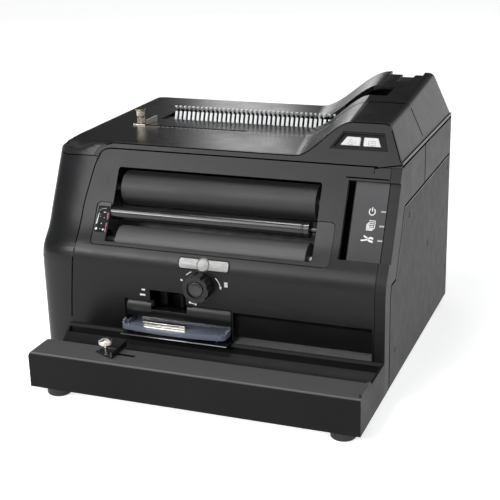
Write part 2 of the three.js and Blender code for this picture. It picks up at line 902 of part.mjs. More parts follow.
function frontFascia() {
  const region = alongY(fasciaPoints, faceY - overrun, slopeY(topZ) + 2 * wall);
  const slotLeftX = chuteRightX + seam + slotWall;
  const pocket = box(slotLeftX - slotWall, slotRightX + slotWall, faceY, faceY + slotDepth + slotWall,
    fasciaFootZ, slotTopZ + slotWall);
  return shell.intersect(region)
    .subtract(windowCut(windowLeftX))
    .subtract(onSlope(grown(guardPoints, seam), -4 * wall, 4 * wall))
    .subtract(panelRecess())
    .add(pocket)
    .subtract(alongX(slotProfile(), slotLeftX, slotRightX))
    .subtract(box(chuteLeftX - seam, chuteRightX + seam, faceY - overrun, faceY + 2 * wall,
      fasciaFootZ - overrun, chuteTopZ + seam))
    .subtract(alongY(throatPoints, faceY - overrun, faceY + 2 * wall))
    .subtract(alongY(circle(knobX, knobZ, knobShaftRadius + clearance, shaftSides), faceY - overrun,
    faceY + 2 * wall));
}

function skinAt(depth, thickness, points) {
  const layer = housing(depth, bottomZ).subtract(housing(depth + thickness, bottomZ - overrun));
  return layer.intersect(onSlope(points, -4 * wall, 4 * wall)).intersect(
    box(leftX, rightX, frontY, slopeY(topZ), bottomZ, topZ),
  );
}

function windowGuard() {
  return skinAt(guardSink, wall, guardPoints)
    .subtract(onSlope([[windowLeftX - wall, windowFootZ], [windowRightX, windowFootZ], [windowRightX, topZ],
      [windowLeftX - wall, topZ]], -4 * wall, 4 * wall));
}

function gaugePlate() {
  return skinAt(gaugeSink, gaugeThickness, rounded(gaugeLeftX, gaugeRightX, gaugeFootZ, gaugeTopZ, 2 * seam));
}

function leftCover() {
  const edge = grown(fasciaPoints, seam).filter(([x, z]) => x < 0 && z < leftSeamZ - seam);
  const foot = edge[0][0];
  const last = edge[edge.length - 1];
  const outline = [[leftX - overrun, bottomZ], [foot, bottomZ], ...edge, [last[0] + seam, leftSeamZ - seam],
    [leftX - overrun, leftSeamZ - seam]];
  const region = alongY(outline, faceY - overrun, 0)
    .add(box(leftX - overrun, leftX + sideRound, -overrun, backY + overrun, bottomZ, leftSeamZ - seam));
  return shell.intersect(region);
}

// Top covers, parted by a seam that bends back on its way over the tower
function seamLine(offset) {
  const points = [[leftX - overrun, topSeamY + offset]];
  for (let i = 0; i <= 6; i += 1) {
    const share = i / 6;
    const climb = share * share * (3 - 2 * share);
    points.push([seamBendStartX + (seamBendEndX - seamBendStartX) * share,
      topSeamY + (towerSeamY - topSeamY) * climb + offset]);
  }
  points.push([rightX + overrun, towerSeamY + offset]);
  return points;
}

function topRegion(offset, endY) {
  const outline = [...seamLine(offset), [rightX + overrun, endY], [leftX - overrun, endY]];
  return alongZ(outline, leftSeamZ, roofZ);
}

function belowSideSeam() {
  return box(rightX - 2 * wall, rightX + overrun, frontY, backY + overrun, bottomZ, sideSeamZ + seam);
}

function topSlot() {
  const line = topSeamY - topSlotSetback;
  return box(topSlotLeftX, topSlotRightX, line - stopSlotWidth / 2, line + stopSlotWidth / 2, leftSeamZ,
    roofZ);
}

function fasciaSpace() {
  return alongY(fasciaRing(seam), faceY - overrun, slopeY(topZ) + 2 * wall);
}

// Room of the frame strip right of the fascia
function stripSpace() {
  return box(fasciaRightX - overrun, rightX + overrun, faceY, slopeY(topZ) + 2 * wall, bottomZ,
    fasciaTopZ + seam);
}

function topFrontCover() {
  const frontSpace = onSlope(grown(upperFrontPoints, seam), -wall - seam, 4 * wall);
  return shell.intersect(topRegion(-seam / 2, slopeY(topZ) - 4 * sideRound))
    .subtract(frontSpace)
    .subtract(fasciaSpace())
    .subtract(stripSpace())
    .subtract(belowSideSeam())
    .subtract(topSlot());
}

function combSlot() {
  return alongZ([[combSlotLeftX, combSlotFrontY], [combSlotTurnX, combSlotFrontY],
    [towerWindowLeftX, towerWindowFrontY], [towerWindowRightX, towerWindowFrontY],
    [towerWindowRightX, towerWindowBackY], [towerWindowLeftX, towerWindowBackY],
    [combSlotTurnX, combSlotBackY], [combSlotLeftX + combSlotSlant, combSlotBackY]], leftSeamZ, roofZ);
}

function channel() {
  const from = towerSeamY + channelSetback;
  const section = (y, right) => [[channelLeftX, floorZ(y)], [right, floorZ(y)], [right, roofZ],
    [channelLeftX, roofZ]]
    .map(([x, z]) => new THREE.Vector3(x, y, z));
  return loft([section(from, channelFrontRightX), section(backY + overrun, channelBackRightX)]);
}

function topRearCover() {
  const notch = box(rearNotchLeftX, rearNotchRightX, backY - rearNotchDepth, backY + overrun,
    floorZ(backY) - rearNotchSink, roofZ);
  return shell.intersect(topRegion(seam / 2, backY + overrun))
    .subtract(belowSideSeam())
    .subtract(combSlot())
    .subtract(channel())
    .subtract(notch);
}

// Bezel and buttons, points [x, z] on the slope
const bezelPoints = [[bezelLeftX, bezelFootZ], [bezelLeftX + bezelLeftLean, bezelTopZ],
  [bezelRightX - bezelRightLean, bezelTopZ], [bezelRightX, bezelFootZ]];

function upperFrontPanel() {
  return onSlope(upperFrontPoints, -wall, wall)
    .intersect(outer)
    .subtract(fasciaSpace())
    .subtract(stripSpace())
    .subtract(onSlope(bezelPoints, -2 * wall, 2 * wall));
}

function buttonPoints(left) {
  if (left) {
    return [[buttonLeftX, buttonFootZ], [buttonLeftX + buttonLeftLean, buttonTopZ],
      [buttonMiddleX - buttonGap / 2, buttonTopZ], [buttonMiddleX - buttonGap / 2, buttonFootZ]];
  }
  return [[buttonMiddleX + buttonGap / 2, buttonFootZ], [buttonMiddleX + buttonGap / 2, buttonTopZ],
    [buttonRightX - buttonRightLean, buttonTopZ], [buttonRightX, buttonFootZ]];
}

const buttonBoardTop = -bezelDepth - bezelThickness - 2 * buttonTravel - buttonBoardGap;

// Post from the bezel to the board under it
function bezelPost(x) {
  return onSlope([[x, buttonFootZ - bezelPostSide / 2], [x + bezelPostSide, buttonFootZ - bezelPostSide / 2],
    [x + bezelPostSide, buttonFootZ + bezelPostSide / 2], [x, buttonFootZ + bezelPostSide / 2]],
  buttonBoardTop + clearance, -bezelDepth - bezelThickness / 2);
}

function buttonBezel() {
  const tray = grown(bezelPoints, -seam);
  return onSlope(tray, -bezelDepth - bezelThickness, -clearance)
    .add(bezelPost(bezelLeftX + bezelPostInset))
    .add(bezelPost(bezelRightX - bezelPostInset + clearance))
    .subtract(onSlope(grown(tray, -bezelThickness), -bezelDepth, wall))
    .subtract(onSlope(grown(buttonPoints(true), clearance), -2 * wall, wall))
    .subtract(onSlope(grown(buttonPoints(false), clearance), -2 * wall, wall));
}

function button(left) {
  return onSlope(buttonPoints(left), -bezelDepth - bezelThickness - buttonTravel, -bezelDepth - bezelThickness
    - buttonTravel + buttonHeight);
}

function buttonBoard() {
  return onSlope(grown(bezelPoints, -buttonGap), buttonBoardTop - boardThickness, buttonBoardTop);
}

// Right side, points [y, z]
function sidePanelOutline() {
  return [[sidePanelFootY, bottomZ], [sidePanelFootY, sidePanelKneeZ],
    [sidePanelFootY + sidePanelKneeRun, sidePanelStepZ], [sidePanelStepY, sidePanelStepZ],
    [sidePanelTopFrontY, sidePanelTopZ], [backY, sidePanelTopZ], [backY, bottomZ]];
}

function rightSidePanel() {
  return shell.intersect(alongX(sidePanelOutline(), rightX - wall - clearance, rightX + overrun));
}

function rightFrontFrame() {
  const lineY = slopeY(topZ) + 2 * wall;
  const outline = [[faceY - overrun, bottomZ], [faceY - overrun, fasciaTopZ], [lineY, fasciaTopZ],
    [lineY, sideSeamZ], [towerSeamY - seam, sideSeamZ], [towerSeamY - seam, bottomZ]];
  const side = alongX(outline, rightX - wall - clearance, rightX + overrun);
  const front = alongX([[faceY - overrun, fasciaFootZ], [faceY - overrun, fasciaTopZ], [lineY, fasciaTopZ],
    [lineY, fasciaTopZ - 3 * wall], [slopeStartY, slopeStartZ - wall], [faceY + 2 * wall, fasciaFootZ]],
  fasciaRightX + seam, rightX + overrun);
  const backing = onSlope([[fasciaRightX + seam, panelFootZ - panelRim], [rightX - clearance,
    panelFootZ - panelRim],
    [rightX - clearance, panelTopZ + panelRim], [fasciaRightX + seam, panelTopZ + panelRim]],
  -panelDepth - panelThickness, 0).intersect(outer);
  return shell.intersect(side.add(front))
    .add(backing)
    .subtract(alongX(grown(sidePanelOutline(), seam), rightX - 2 * wall - panelThickness, rightX + overrun))
    .subtract(panelRecess());
}

function rightRearBand() {
  return shell.intersect(box(rightX - wall - clearance, rightX + overrun, towerSeamY, backY + overrun,
    sidePanelTopZ + seam, sideSeamZ));
}

function controlPanel() {
  const right = fasciaRightX - seam;
  const plate = [[panelLeftX - panelRim, panelFootZ - panelRim], [right, panelFootZ - panelRim],
    [right, panelTopZ + panelRim], [panelLeftX - panelRim, panelTopZ + panelRim]];
  const groove = [[panelLeftX, panelFootZ], [panelLeftX + grooveWidth, panelFootZ],
    [panelLeftX + grooveWidth, panelTopZ], [panelLeftX, panelTopZ]];
  return onSlope(plate, -panelDepth - panelThickness, -wall - clearance)
    .subtract(panelRecess())
    .subtract(onSlope(groove, -panelDepth - grooveDepth, 0));
}

function panelBoard() {
  const low = -panelDepth - panelThickness - clearance;
  const left = panelLeftX + grooveWidth;
  return onSlope([[left, panelFootZ], [fasciaRightX - panelRim, panelFootZ], [fasciaRightX - panelRim,
    panelTopZ],
    [left, panelTopZ]], low - boardThickness, low);
}

function backPanel() {
  let panel = box(leftX + sideRound + seam, rightX - wall - seam, backY - wall, backY, bottomZ,
    leftSeamZ - seam);
  for (let i = 0; i < ventCount; i += 1) {
    const x = ventFirstX + ventPitch * i;
    panel = panel.subtract(box(x, x + ventWidth, backY - 2 * wall, backY + overrun, ventZ,
      ventZ + ventHeight));
  }
  return panel.subtract(box(inletX - inletWidth / 2 - clearance, inletX + inletWidth / 2 + clearance,
    backY - 2 * wall, backY + overrun, inletZ - inletHeight / 2 - clearance,
    inletZ + inletHeight / 2 + clearance));
}

// Rollers, bar, plates and the sheet behind them

function rollerSleeve(left, right, y, z, radius) {
  const bore = rollerShaftRadius + clearance;
  return turnedAlongX([[bore, left], [radius, left], [radius, right], [bore, right], [bore, left]], y, z,
    rollerSides);
}

const pulleyLeftX = rightPlateX + plateThickness + pulleyGap;
const pulleyRightX = pulleyLeftX + pulleyWidth + 2 * flangeWidth;

function shaft(left, right, y, z, radius) {
  return turnedAlongX([[0, left], [radius, left], [radius, right], [0, right]], y, z, shaftSides);
}

function idlerBar() {
  const collar = idlerRadius + seam;
  const ring = 2 * bushFlangeThickness;
  return turnedAlongX([[0, leftPlateX - clearance], [idlerStubRadius, leftPlateX - clearance],
    [idlerStubRadius, idlerLeftX], [idlerRadius, idlerLeftX], [idlerRadius, idlerRightX - 4 * ring],
    [collar, idlerRightX - 4 * ring], [collar, idlerRightX - 3 * ring], [idlerRadius - seam,
    idlerRightX - 3 * ring],
    [idlerRadius - seam, idlerRightX - 2 * ring], [collar, idlerRightX - 2 * ring], [collar, idlerRightX],
    [idlerStubRadius, idlerRightX], [idlerStubRadius, rightPlateX + plateThickness + clearance],
    [0, rightPlateX + plateThickness + clearance]], idlerY, idlerZ, rollerSides);
}

const bushBore = rollerShaftRadius + clearance;
const bushOuter = bushBore + bushWall;

function bearingPlate(x, carriesMotor) {
  const hole = (y, z, radius) => alongX(circle(y, z, radius, shaftSides), x - overrun,
    x + plateThickness + overrun);
  const plate = housing(plateSetback, bottomZ)
    .intersect(box(x, x + plateThickness, frontY, plateBackY, bottomZ + panThickness + clearance,
      topZ - plateTopDrop))
    .subtract(box(x - overrun, x + plateThickness + overrun, frontY,
    faceY + slotDepth + slotWall + clearance, bottomZ,
      slotTopZ + slotWall + clearance))
    .subtract(hole(upperRollerY, upperRollerZ, bushOuter + clearance))
    .subtract(hole(lowerRollerY, lowerRollerZ, bushOuter + clearance))
    .subtract(hole(idlerY, idlerZ, idlerStubRadius + clearance));
  return carriesMotor ? plate.subtract(hole(motorY, motorZ, motorNeckRadius + clearance)) : plate;
}

// Flanged bush in a plate, its flange on the side of the rollers
function bush(x, inward, y, z) {
  const face = inward > 0 ? x + plateThickness + clearance : x - clearance;
  const rim = face + inward * bushFlangeThickness;
  const tail = inward > 0 ? x : x + plateThickness;
  return turnedAlongX([[bushBore, tail], [bushOuter, tail], [bushOuter, face], [bushOuter + bushFlange, face],
    [bushOuter + bushFlange, rim], [bushBore, rim], [bushBore, tail]], y, z, shaftSides);
}

// The sheet keeps the same distance to both rollers and closes on the fascia at its ends
function baySheet() {
  const line = [];
  const reach = 3 * baySheetThickness;
  const lower = lowerRollerRadius + reach;
  const upper = upperRollerRadius + reach;
  for (let i = 0; i <= 6; i += 1) {
    const turn = lowerBayStart + lowerBaySweep * (i / 6);
    line.push([lowerRollerY + lower * Math.cos(turn), lowerRollerZ + lower * Math.sin(turn)]);
  }
  for (let i = 0; i <= 6; i += 1) {
    const turn = upperBayStart + upperBaySweep * (i / 6);
    line.push([upperRollerY + upper * Math.cos(turn), upperRollerZ + upper * Math.sin(turn)]);
  }
  return alongX(sheetOutline(line, -baySheetThickness), leftPlateX + plateThickness + clearance,
    rightPlateX - clearance);
}

// Belt drive

function pulley(y, z, radius, bore) {
  const rim = radius + flangeRise;
  const right = pulleyRightX;
  const left = pulleyLeftX;
  return turnedAlongX([[bore, left], [rim, left], [rim, left + flangeWidth], [radius, left + flangeWidth],
    [radius, right - flangeWidth], [rim, right - flangeWidth], [rim, right], [bore, right], [bore, left]],
  y, z, pulleySides);
}

function hullOutline(points) {
  const sorted = [...points].sort((a, b) => a[0] - b[0] || a[1] - b[1]);
  const half = (list) => {
    const chain = [];
    for (const p of list) {
      while (chain.length > 1) {
        const [a, b] = chain.slice(-2);
        if ((b[0] - a[0]) * (p[1] - a[1]) - (b[1] - a[1]) * (p[0] - a[0]) > 0) {
          break;
        }
        chain.pop();
      }
      chain.push(p);
    }
    return chain.slice(0, -1);
  };
  return [...half(sorted), ...half(sorted.reverse())];
}

function driveBelt() {
  const wheels = [[upperRollerY, upperRollerZ, upperPulleyRadius], [lowerRollerY, lowerRollerZ,
    lowerPulleyRadius],
    [motorY, motorZ, motorPulleyRadius]];
  const ring = (extra) => hullOutline(wheels.flatMap(([y, z, r]) => circle(y, z, r + extra, pulleySides)));
  const left = pulleyLeftX + flangeWidth + clearance;
  const right = pulleyRightX - flangeWidth - clearance;
  return alongX(ring(clearance + beltThickness), left, right)
    .subtract(alongX(ring(clearance), left - overrun, right + overrun));
}

function driveMotor() {
  const right = rightPlateX - clearance;
  const left = right - motorLength;
  const bore = motorShaftRadius + clearance;
  const neckEnd = rightPlateX + plateThickness;
  return turnedAlongX([[0, left], [motorRadius - wall, left], [motorRadius, left + wall], [motorRadius,
    right],
    [motorNeckRadius, right], [motorNeckRadius, neckEnd], [bore, neckEnd], [bore, right - wall], [0,
    right - wall]],
  motorY, motorZ, shaftSides);
}

// Lower front: chute, crimper, tray

// Front surface of the chute, points [y, z] from its foot up
function chuteLine() {
  const points = [[faceY + chuteDepth, ledgeTopZ]];
  const height = chuteTopZ - chuteUprightDrop - chuteFootZ;
  for (let i = 0; i <= 8; i += 1) {
    const turn = (Math.PI / 2) * (i / 8);
    points.push([faceY + chuteDepth * Math.cos(turn), chuteFootZ + height * Math.sin(turn)]);
  }
  points.push([faceY, chuteTopZ]);
  return points;
}

function chuteCover() {
  const outline = sheetOutline(chuteLine(), -chuteWall);
  const cheek = [[faceY, ledgeTopZ], [faceY, chuteTopZ], ...outline.slice(chuteLine().length)];
  const sheet = alongX(outline, chuteLeftX + chuteWall / 2, chuteRightX - chuteWall / 2);
  return sheet
    .add(alongX(cheek, chuteLeftX, chuteLeftX + chuteWall))
    .add(alongX(cheek, chuteRightX - chuteWall, chuteRightX))
    .subtract(alongY(throatPoints, faceY - overrun, faceY + chuteDepth + overrun));
}

const crimperFrontY = faceY + wall + clearance;
const crimperLeftX = throatLeftX - crimperWall;
const crimperRightX = throatRightX + crimperWall;
const crimperFootZ = throatFootZ - crimperWall;
const crimperTopZ = throatTopZ + crimperWall;
const throatBackY = crimperFrontY + crimperThroatDepth;
const throatMiddleZ = (throatFootZ + throatTopZ) / 2;
const jawLeftX = throatLeftX + throatStepWidth + seam;

function crimperBlock() {
  const behind = sheetOutline(chuteLine(), -chuteWall - clearance).slice(chuteLine().length);
  const last = behind[behind.length - 1];
  const chuteSpace = [[faceY - overrun, bottomZ], [faceY - overrun, chuteTopZ + clearance],
    [behind[0][0], chuteTopZ + clearance], ...behind, [last[0], bottomZ]];
  const slotReach = jawTravel + jawTailWidth + 2 * clearance;
  const tailLeft = jawLeftX + (jawWidth - jawTailWidth) / 2 - clearance;
  return box(crimperLeftX, crimperRightX, crimperFrontY, crimperFrontY + crimperDepth, crimperFootZ,
    crimperTopZ)
    .subtract(alongX(chuteSpace, crimperLeftX - overrun, crimperRightX + overrun))
    .subtract(alongY(throatPoints, faceY - overrun, throatBackY))
    .subtract(box(tailLeft, tailLeft + slotReach, throatBackY - overrun,
    crimperFrontY + crimperDepth + overrun,
      throatMiddleZ - jawTailHeight / 2 - clearance, throatMiddleZ + jawTailHeight / 2 + clearance));
}

function crimperJaw() {
  const head = box(jawLeftX, jawLeftX + jawWidth, throatBackY - clearance - jawDepth, throatBackY - clearance,
    throatFootZ + clearance, throatTopZ - clearance);
  const tailLeft = jawLeftX + (jawWidth - jawTailWidth) / 2;
  const tail = box(tailLeft, tailLeft + jawTailWidth, throatBackY - jawDepth / 2,
    crimperFrontY + crimperDepth,
    throatMiddleZ - jawTailHeight / 2, throatMiddleZ + jawTailHeight / 2);
  return head.add(tail);
}

function crimperAnvil() {
  const x = throatRightX - 3 * anvilRadius;
  return turnedAlongZ([[0, throatFootZ + clearance], [anvilRadius, throatFootZ + clearance],
    [anvilRadius, throatTopZ - clearance], [0, throatTopZ - clearance]], x, throatBackY - jawDepth,
    shaftSides);
}

function crimpMotor() {
  const from = crimperFrontY + crimperDepth + 2 * clearance;
  const geometry = turned([[0, 0], [crimpMotorRadius, 0], [crimpMotorRadius, crimpMotorLength],
    [0, crimpMotorLength]], shaftSides);
  geometry.translate((throatLeftX + throatRightX) / 2, from, throatMiddleZ);
  return solid(geometry);
}

const shelfFootZ = ledgeTopZ - ledgeRidgeDrop + clearance;
const shelfTopZ = shelfFootZ + shelfThickness;
const trayLeftX = chuteLeftX + chuteWall + 2 * clearance;
const trayRightX = chuteRightX - chuteWall - 2 * clearance;
const trayBackY = faceY + chuteDepth - trayBackGap;

function trayShelf() {
  return box(chuteLeftX, chuteRightX, faceY - shelfReach, faceY + chuteDepth + chuteWall, shelfFootZ,
    shelfTopZ);
}

const trayFootZ = shelfTopZ + clearance;
const trayFloorZ = trayFootZ + trayRunnerHeight;
const trayTopZ = trayFootZ + trayHeight;
const trayFlareY = faceY - 2 * clearance;

// The tray widens to the left in front of the face, and its front edge is bowed, points [x, y]
function trayOutline(inset) {
  const left = trayLeftX - trayFlare + inset;
  const right = trayRightX - inset;
  const front = faceY - trayReach + inset;
  const back = trayBackY - inset;
  const points = [[right, back], [trayLeftX + inset, back], [trayLeftX + inset, trayFlareY - inset],
    [left, trayFlareY - inset]];
  for (let i = 0; i <= 4; i += 1) {
    const turn = (Math.PI / 2) * (i / 4);
    points.push([left + trayRound * (1 - Math.cos(turn)), front + trayRound * (1 - Math.sin(turn))]);
  }
  for (let i = 1; i < trayBowSteps; i += 1) {
    const share = i / trayBowSteps;
    const bow = 1 - (2 * share - 1) ** 2;
    points.push([left + trayRound + (right - left - 2 * trayRound) * share, front - trayBow * bow]);
  }
  for (let i = 4; i >= 0; i -= 1) {
    const turn = (Math.PI / 2) * (i / 4);
    points.push([right - trayRound * (1 - Math.cos(turn)), front + trayRound * (1 - Math.sin(turn))]);
  }
  return points;
}

function trayEar(left) {
  return box(left, left + trayWall, trayFlareY - trayEarLength, trayFlareY, trayTopZ - trayWall,
    trayTopZ + trayEarHeight);
}

function trayRunner(left) {
  return box(left, left + trayRunnerWidth, faceY - trayReach + trayRound, trayBackY, trayFootZ,
    trayFloorZ + clearance);
}

function scrapTray() {
  return alongZ(trayOutline(0), trayFloorZ, trayTopZ)
    .subtract(alongZ(trayOutline(trayWall), trayFloorZ + trayWall, trayTopZ + overrun))
    .add(trayEar(trayLeftX - trayFlare))
    .add(trayEar(trayRightX - trayWall))
    .add(trayRunner(trayLeftX + trayRunnerInset))
    .add(trayRunner(trayRightX - trayRunnerInset - trayRunnerWidth));
}

function trayBar() {
  const foot = trayFloorZ + trayWall + clearance;
  const front = faceY - trayBarReach;
  return box(trayBarLeftX, trayBarRightX, front, front + trayBarWidth, foot, foot + trayBarHeight);
}

// Front ledge

function ledgeProfile(inset) {
  const front = frontY + inset;
  const top = ledgeTopZ - inset;
  const flatBack = frontY + ledgeFlatDepth;
  const ridgeY = faceY - clearance - ledgeRidgeWidth - inset;
  const points = [[front, bottomZ - (inset ? overrun : 0)]];
  const round = Math.max(ledgeRound - inset, clearance);
  for (let i = 0; i <= 4; i += 1) {
    const turn = (Math.PI / 2) * (i / 4);
    points.push([front + round * (1 - Math.cos(turn)), top - round * (1 - Math.sin(turn))]);
  }
  for (let i = 0; i <= troughSteps; i += 1) {
    const share = i / troughSteps;
    const bow = 1 - (2 * share - 1) ** 2;
    points.push([flatBack + (ridgeY - flatBack) * share,
      top - ledgeRidgeDrop * share - ledgeTroughDepth * bow]);
  }
  points.push([faceY - clearance - inset, top - ledgeRidgeDrop]);
  points.push([faceY - clearance - inset, bottomZ - (inset ? overrun : 0)]);
  return points;
}

function endPlateProfile() {
  const flatBack = frontY + ledgeFlatDepth;
  return [[frontY, bottomZ], [frontY, ledgeTopZ - ledgeRound], [frontY + ledgeRound,
    ledgeTopZ + endPlateRise],
    [flatBack, ledgeTopZ + endPlateRise], [flatBack + ledgeRound, ledgeTopZ - endPlateDrop],
    [faceY - clearance, ledgeTopZ - endPlateDrop], [faceY - clearance, bottomZ]];
}

function ledgeSlot() {
  return alongZ(rounded(ledgeSlotLeftX, ledgeSlotRightX, ledgeSlotY - stopSlotWidth / 2,
    ledgeSlotY + stopSlotWidth / 2, stopSlotWidth / 2 - clearance), bottomZ + 3 * panThickness,
    ledgeTopZ + overrun);
}

function frontLedge() {
  const roundEnd = alongY([[ledgeLeftX, bottomZ - overrun], [ledgeLeftX, ledgeTopZ - ledgeEndRound],
    [ledgeLeftX + ledgeEndRound * ledgeEndShare, ledgeTopZ - ledgeEndRound * ledgeEndShare],
    [ledgeLeftX + ledgeEndRound, ledgeTopZ],
    [ledgeLeftX + ledgeEndRound, ledgeTopZ + overrun], [rightX + overrun, ledgeTopZ + overrun],
    [rightX + overrun, bottomZ - overrun]], frontY - overrun, faceY);
  return alongX(ledgeProfile(0), ledgeLeftX, rightX)
    .intersect(roundEnd)
    .subtract(alongX(ledgeProfile(wall), ledgeLeftX + wall, rightX - wall))
    .add(alongX(endPlateProfile(), rightX - wall, rightX))
    .subtract(ledgeSlot())
    .subtract(panSpace());
}

// Base pan under the housing and the ledge, points [x, y]
function panOutline(gap) {
  const left = leftX + wall + gap;
  const right = rightX - wall - gap;
  const back = backY - wall - gap;
  const ledgeLeft = leftX + edgeFootInset + gap;
  const face = faceY + wall + gap;
  return [[ledgeLeft, frontY + wall + gap], [right, frontY + wall + gap], [right, back], [left + sideRound,
    back],
    [left, back - 2 * backRound], [left, face + sideRound], [left + sideRound, face], [ledgeLeft, face]];
}

function panSpace() {
  return alongZ(panOutline(0), bottomZ - overrun, bottomZ + panThickness + clearance);
}

function basePan() {
  return alongZ(panOutline(seam), bottomZ, bottomZ + panThickness);
}

function foot(x, y) {
  return turnedAlongZ([[0, 0], [footRadius - footTaper, 0], [footRadius, footTaper],
    [footRadius, footHeight - clearance], [0, footHeight - clearance]], x, y, footSides);
}

// Edge stops: a plate with a blade that slides along a slot, and its thumb screw with a nut under the slot

function thumbScrew(x, y, seatZ, head, sides) {
  const nutZ = seatZ - wall - stopNutHeight - clearance;
  return turnedAlongZ([[0, nutZ], [stopNutRadius, nutZ], [stopNutRadius, nutZ + stopNutHeight],
    [stopStemRadius, nutZ + stopNutHeight], ...head], x, y, sides);
}

function ledgeStopScrew() {
  const underZ = ledgeTopZ + ledgeHeadGap;
  const rimZ = underZ + ledgeHeadHeight;
  return thumbScrew(ledgeStopX, ledgeSlotY, ledgeTopZ, [
    [stopStemRadius, underZ - ledgeCollarHeight], [ledgeCollarRadius, underZ - ledgeCollarHeight],
    [ledgeCollarRadius, underZ], [ledgeHeadRadius - ledgeHeadChamfer, underZ],
    [ledgeHeadRadius, underZ + ledgeHeadChamfer], [ledgeHeadRadius, rimZ - ledgeHeadChamfer],
    [ledgeHeadRadius - ledgeHeadChamfer, rimZ], [ledgeHeadRadius / 2,
    rimZ + ledgeHeadDome * Math.cos(Math.PI / 6)],
    [0, rimZ + ledgeHeadDome]], footSides);
}

function topStopScrew() {
  const bodyZ = topZ + topBodyGap;
  const waistZ = bodyZ + topLowerBodyHeight;
  const upperZ = waistZ + topWaistHeight;
  const discZ = upperZ + topUpperBodyHeight;
  return thumbScrew(topStopX, topSeamY - topSlotSetback, topZ, [
    [stopStemRadius, bodyZ], [topBodyRadius, bodyZ], [topBodyRadius, waistZ], [topWaistRadius, waistZ],
    [topWaistRadius, upperZ], [topBodyRadius, upperZ], [topBodyRadius, discZ], [topDiscRadius, discZ],
    [topDiscRadius, discZ + topDiscHeight], [0, discZ + topDiscHeight]], shaftSides);
}

function stopPlate(points, seatZ, x, y) {
  const foot = seatZ + clearance;
  return alongZ(points, foot, foot + stopPlateThickness)
    .subtract(alongZ(circle(x, y, stopStemRadius + clearance, shaftSides), foot - overrun, foot + overrun));
}

function ledgeStopBlade() {
  const [x, y] = [ledgeStopX, ledgeSlotY];
  const left = x - ledgePlateLeftReach;
  const right = x + ledgePlateRightReach;
  const plate = stopPlate([[left, y - ledgePlateCornerReach], [right - ledgeBladeThickness,
    y - ledgePlateFrontReach],
    [right, y - ledgePlateFrontReach], [right, y + ledgePlateBackReach], [left, y + ledgePlateBackReach]],
  ledgeTopZ, x, y);
  const blade = box(right - ledgeBladeThickness, right, y - ledgePlateFrontReach, y + ledgeBladeReach,
    ledgeTopZ + clearance, ledgeTopZ + clearance + ledgeBladeHeight);
  return plate.add(blade);
}

// The blade stands turned from the slot's cross direction and rises to the back
function topStopBlade() {
  const [x, y] = [topStopX, topSeamY - topSlotSetback];
  const right = x + topPlateRightReach;
  const plate = stopPlate([[x - topPlateLeftReach, y - topPlateHalfDepth], [right, y - topPlateHalfDepth],
    [right, y + topPlateHalfDepth], [x - topPlateLeftReach, y + topPlateHalfDepth]], topZ, x, y);
  const foot = topZ + clearance;
  const start = new THREE.Vector3(right - topBladeGap - topBladeThickness, y + topBladeSetback, foot);
  const length = new THREE.Vector3(Math.sin(topBladeTurn), Math.cos(topBladeTurn), 0);
  const across = new THREE.Vector3(Math.cos(topBladeTurn), -Math.sin(topBladeTurn), 0);
  const up = new THREE.Vector3(0, 0, 1);
  const corner = (side, reach, rise) => start.clone().addScaledVector(across, side).addScaledVector(length,
    reach)
    .addScaledVector(up, rise);
  const ring = (side) => [corner(side, 0, 0), corner(side, topBladeLength, 0),
    corner(side, topBladeLength, topBladeBackHeight), corner(side, 0, topBladeFrontHeight)];
  return plate.add(loft([ring(0), ring(topBladeThickness)]));
}

// Comb

const combRailTopZ = topZ - wall - clearance;

function tineLine() {
  return [[combFootY, combRailTopZ - clearance], [combFootY, topZ], [combFootY + tineLean, topZ + tineRise]];
}

function hookLine() {
  const shankY = combFootY + hookSetback;
  const tipY = shankY - hookReach;
  const tipZ = topZ + hookTipRise;
  return [[shankY, combRailTopZ - clearance], [shankY, topZ + hookBendRise], [tipY + hookTipLength, tipZ],
    [tipY, tipZ]];
}

// The rail lies against the underside of the top rear cover, in front of the slot and at its left end
function comb() {
  const tine = sheetOutline(tineLine(), -tineThickness);
  const hook = sheetOutline(hookLine(), -hookThickness);
  const last = combFirstX + combPitch * (combCount - 1);
  let body = box(combSlotLeftX - combRailLap, last + combPitch, combSlotFrontY - combRailLap,
    combFootY + combRailDepth, combRailTopZ - combRailHeight, combRailTopZ);
  for (let i = 0; i < combCount; i += 1) {
    const x = combFirstX + combPitch * i;
    body = body.add(alongX(tine, x - tineWidth / 2, x + tineWidth / 2))
      .add(alongX(hook, x - hookWidth / 2, x + hookWidth / 2));
  }
  return body;
}

// Speed knob

function knobOutline() {
  const points = [];
  for (let i = 0; i < knobSides; i += 1) {
    const turn = (2 * Math.PI * i) / knobSides;
    const wave = Math.max(0, Math.cos(knobScallops * (turn - knobScallopTurn))) ** 2;
    const radius = knobRadius - knobScallopDepth * wave;
    points.push([knobX + radius * Math.cos(turn), knobZ + radius * Math.sin(turn)]);
  }
  return points;
}

const knobBackY = faceY - 2 * seam;
const knobFrontY = knobBackY - knobHeight;

function speedKnob() {
  const stalk = alongY(circle(knobX, knobZ, knobShaftRadius, shaftSides), knobBackY - clearance,
    faceY + wall + potDepth / 2);
  return alongY(knobOutline(), knobFrontY, knobBackY)
    .subtract(alongY(circle(knobX, knobZ, knobRingRadius, 2 * shaftSides), knobFrontY - overrun,
      knobFrontY + knobRingDepth))
    .subtract(alongY(circle(knobX, knobZ, knobCapRadius + clearance, 2 * shaftSides), knobFrontY - overrun,
      knobFrontY + knobCapSink + knobCapThickness + clearance))
    .add(stalk);
}

function knobCap() {
  return alongY(circle(knobX, knobZ, knobCapRadius, 2 * shaftSides), knobFrontY + knobCapSink,
    knobFrontY + knobCapSink + knobCapThickness);
}

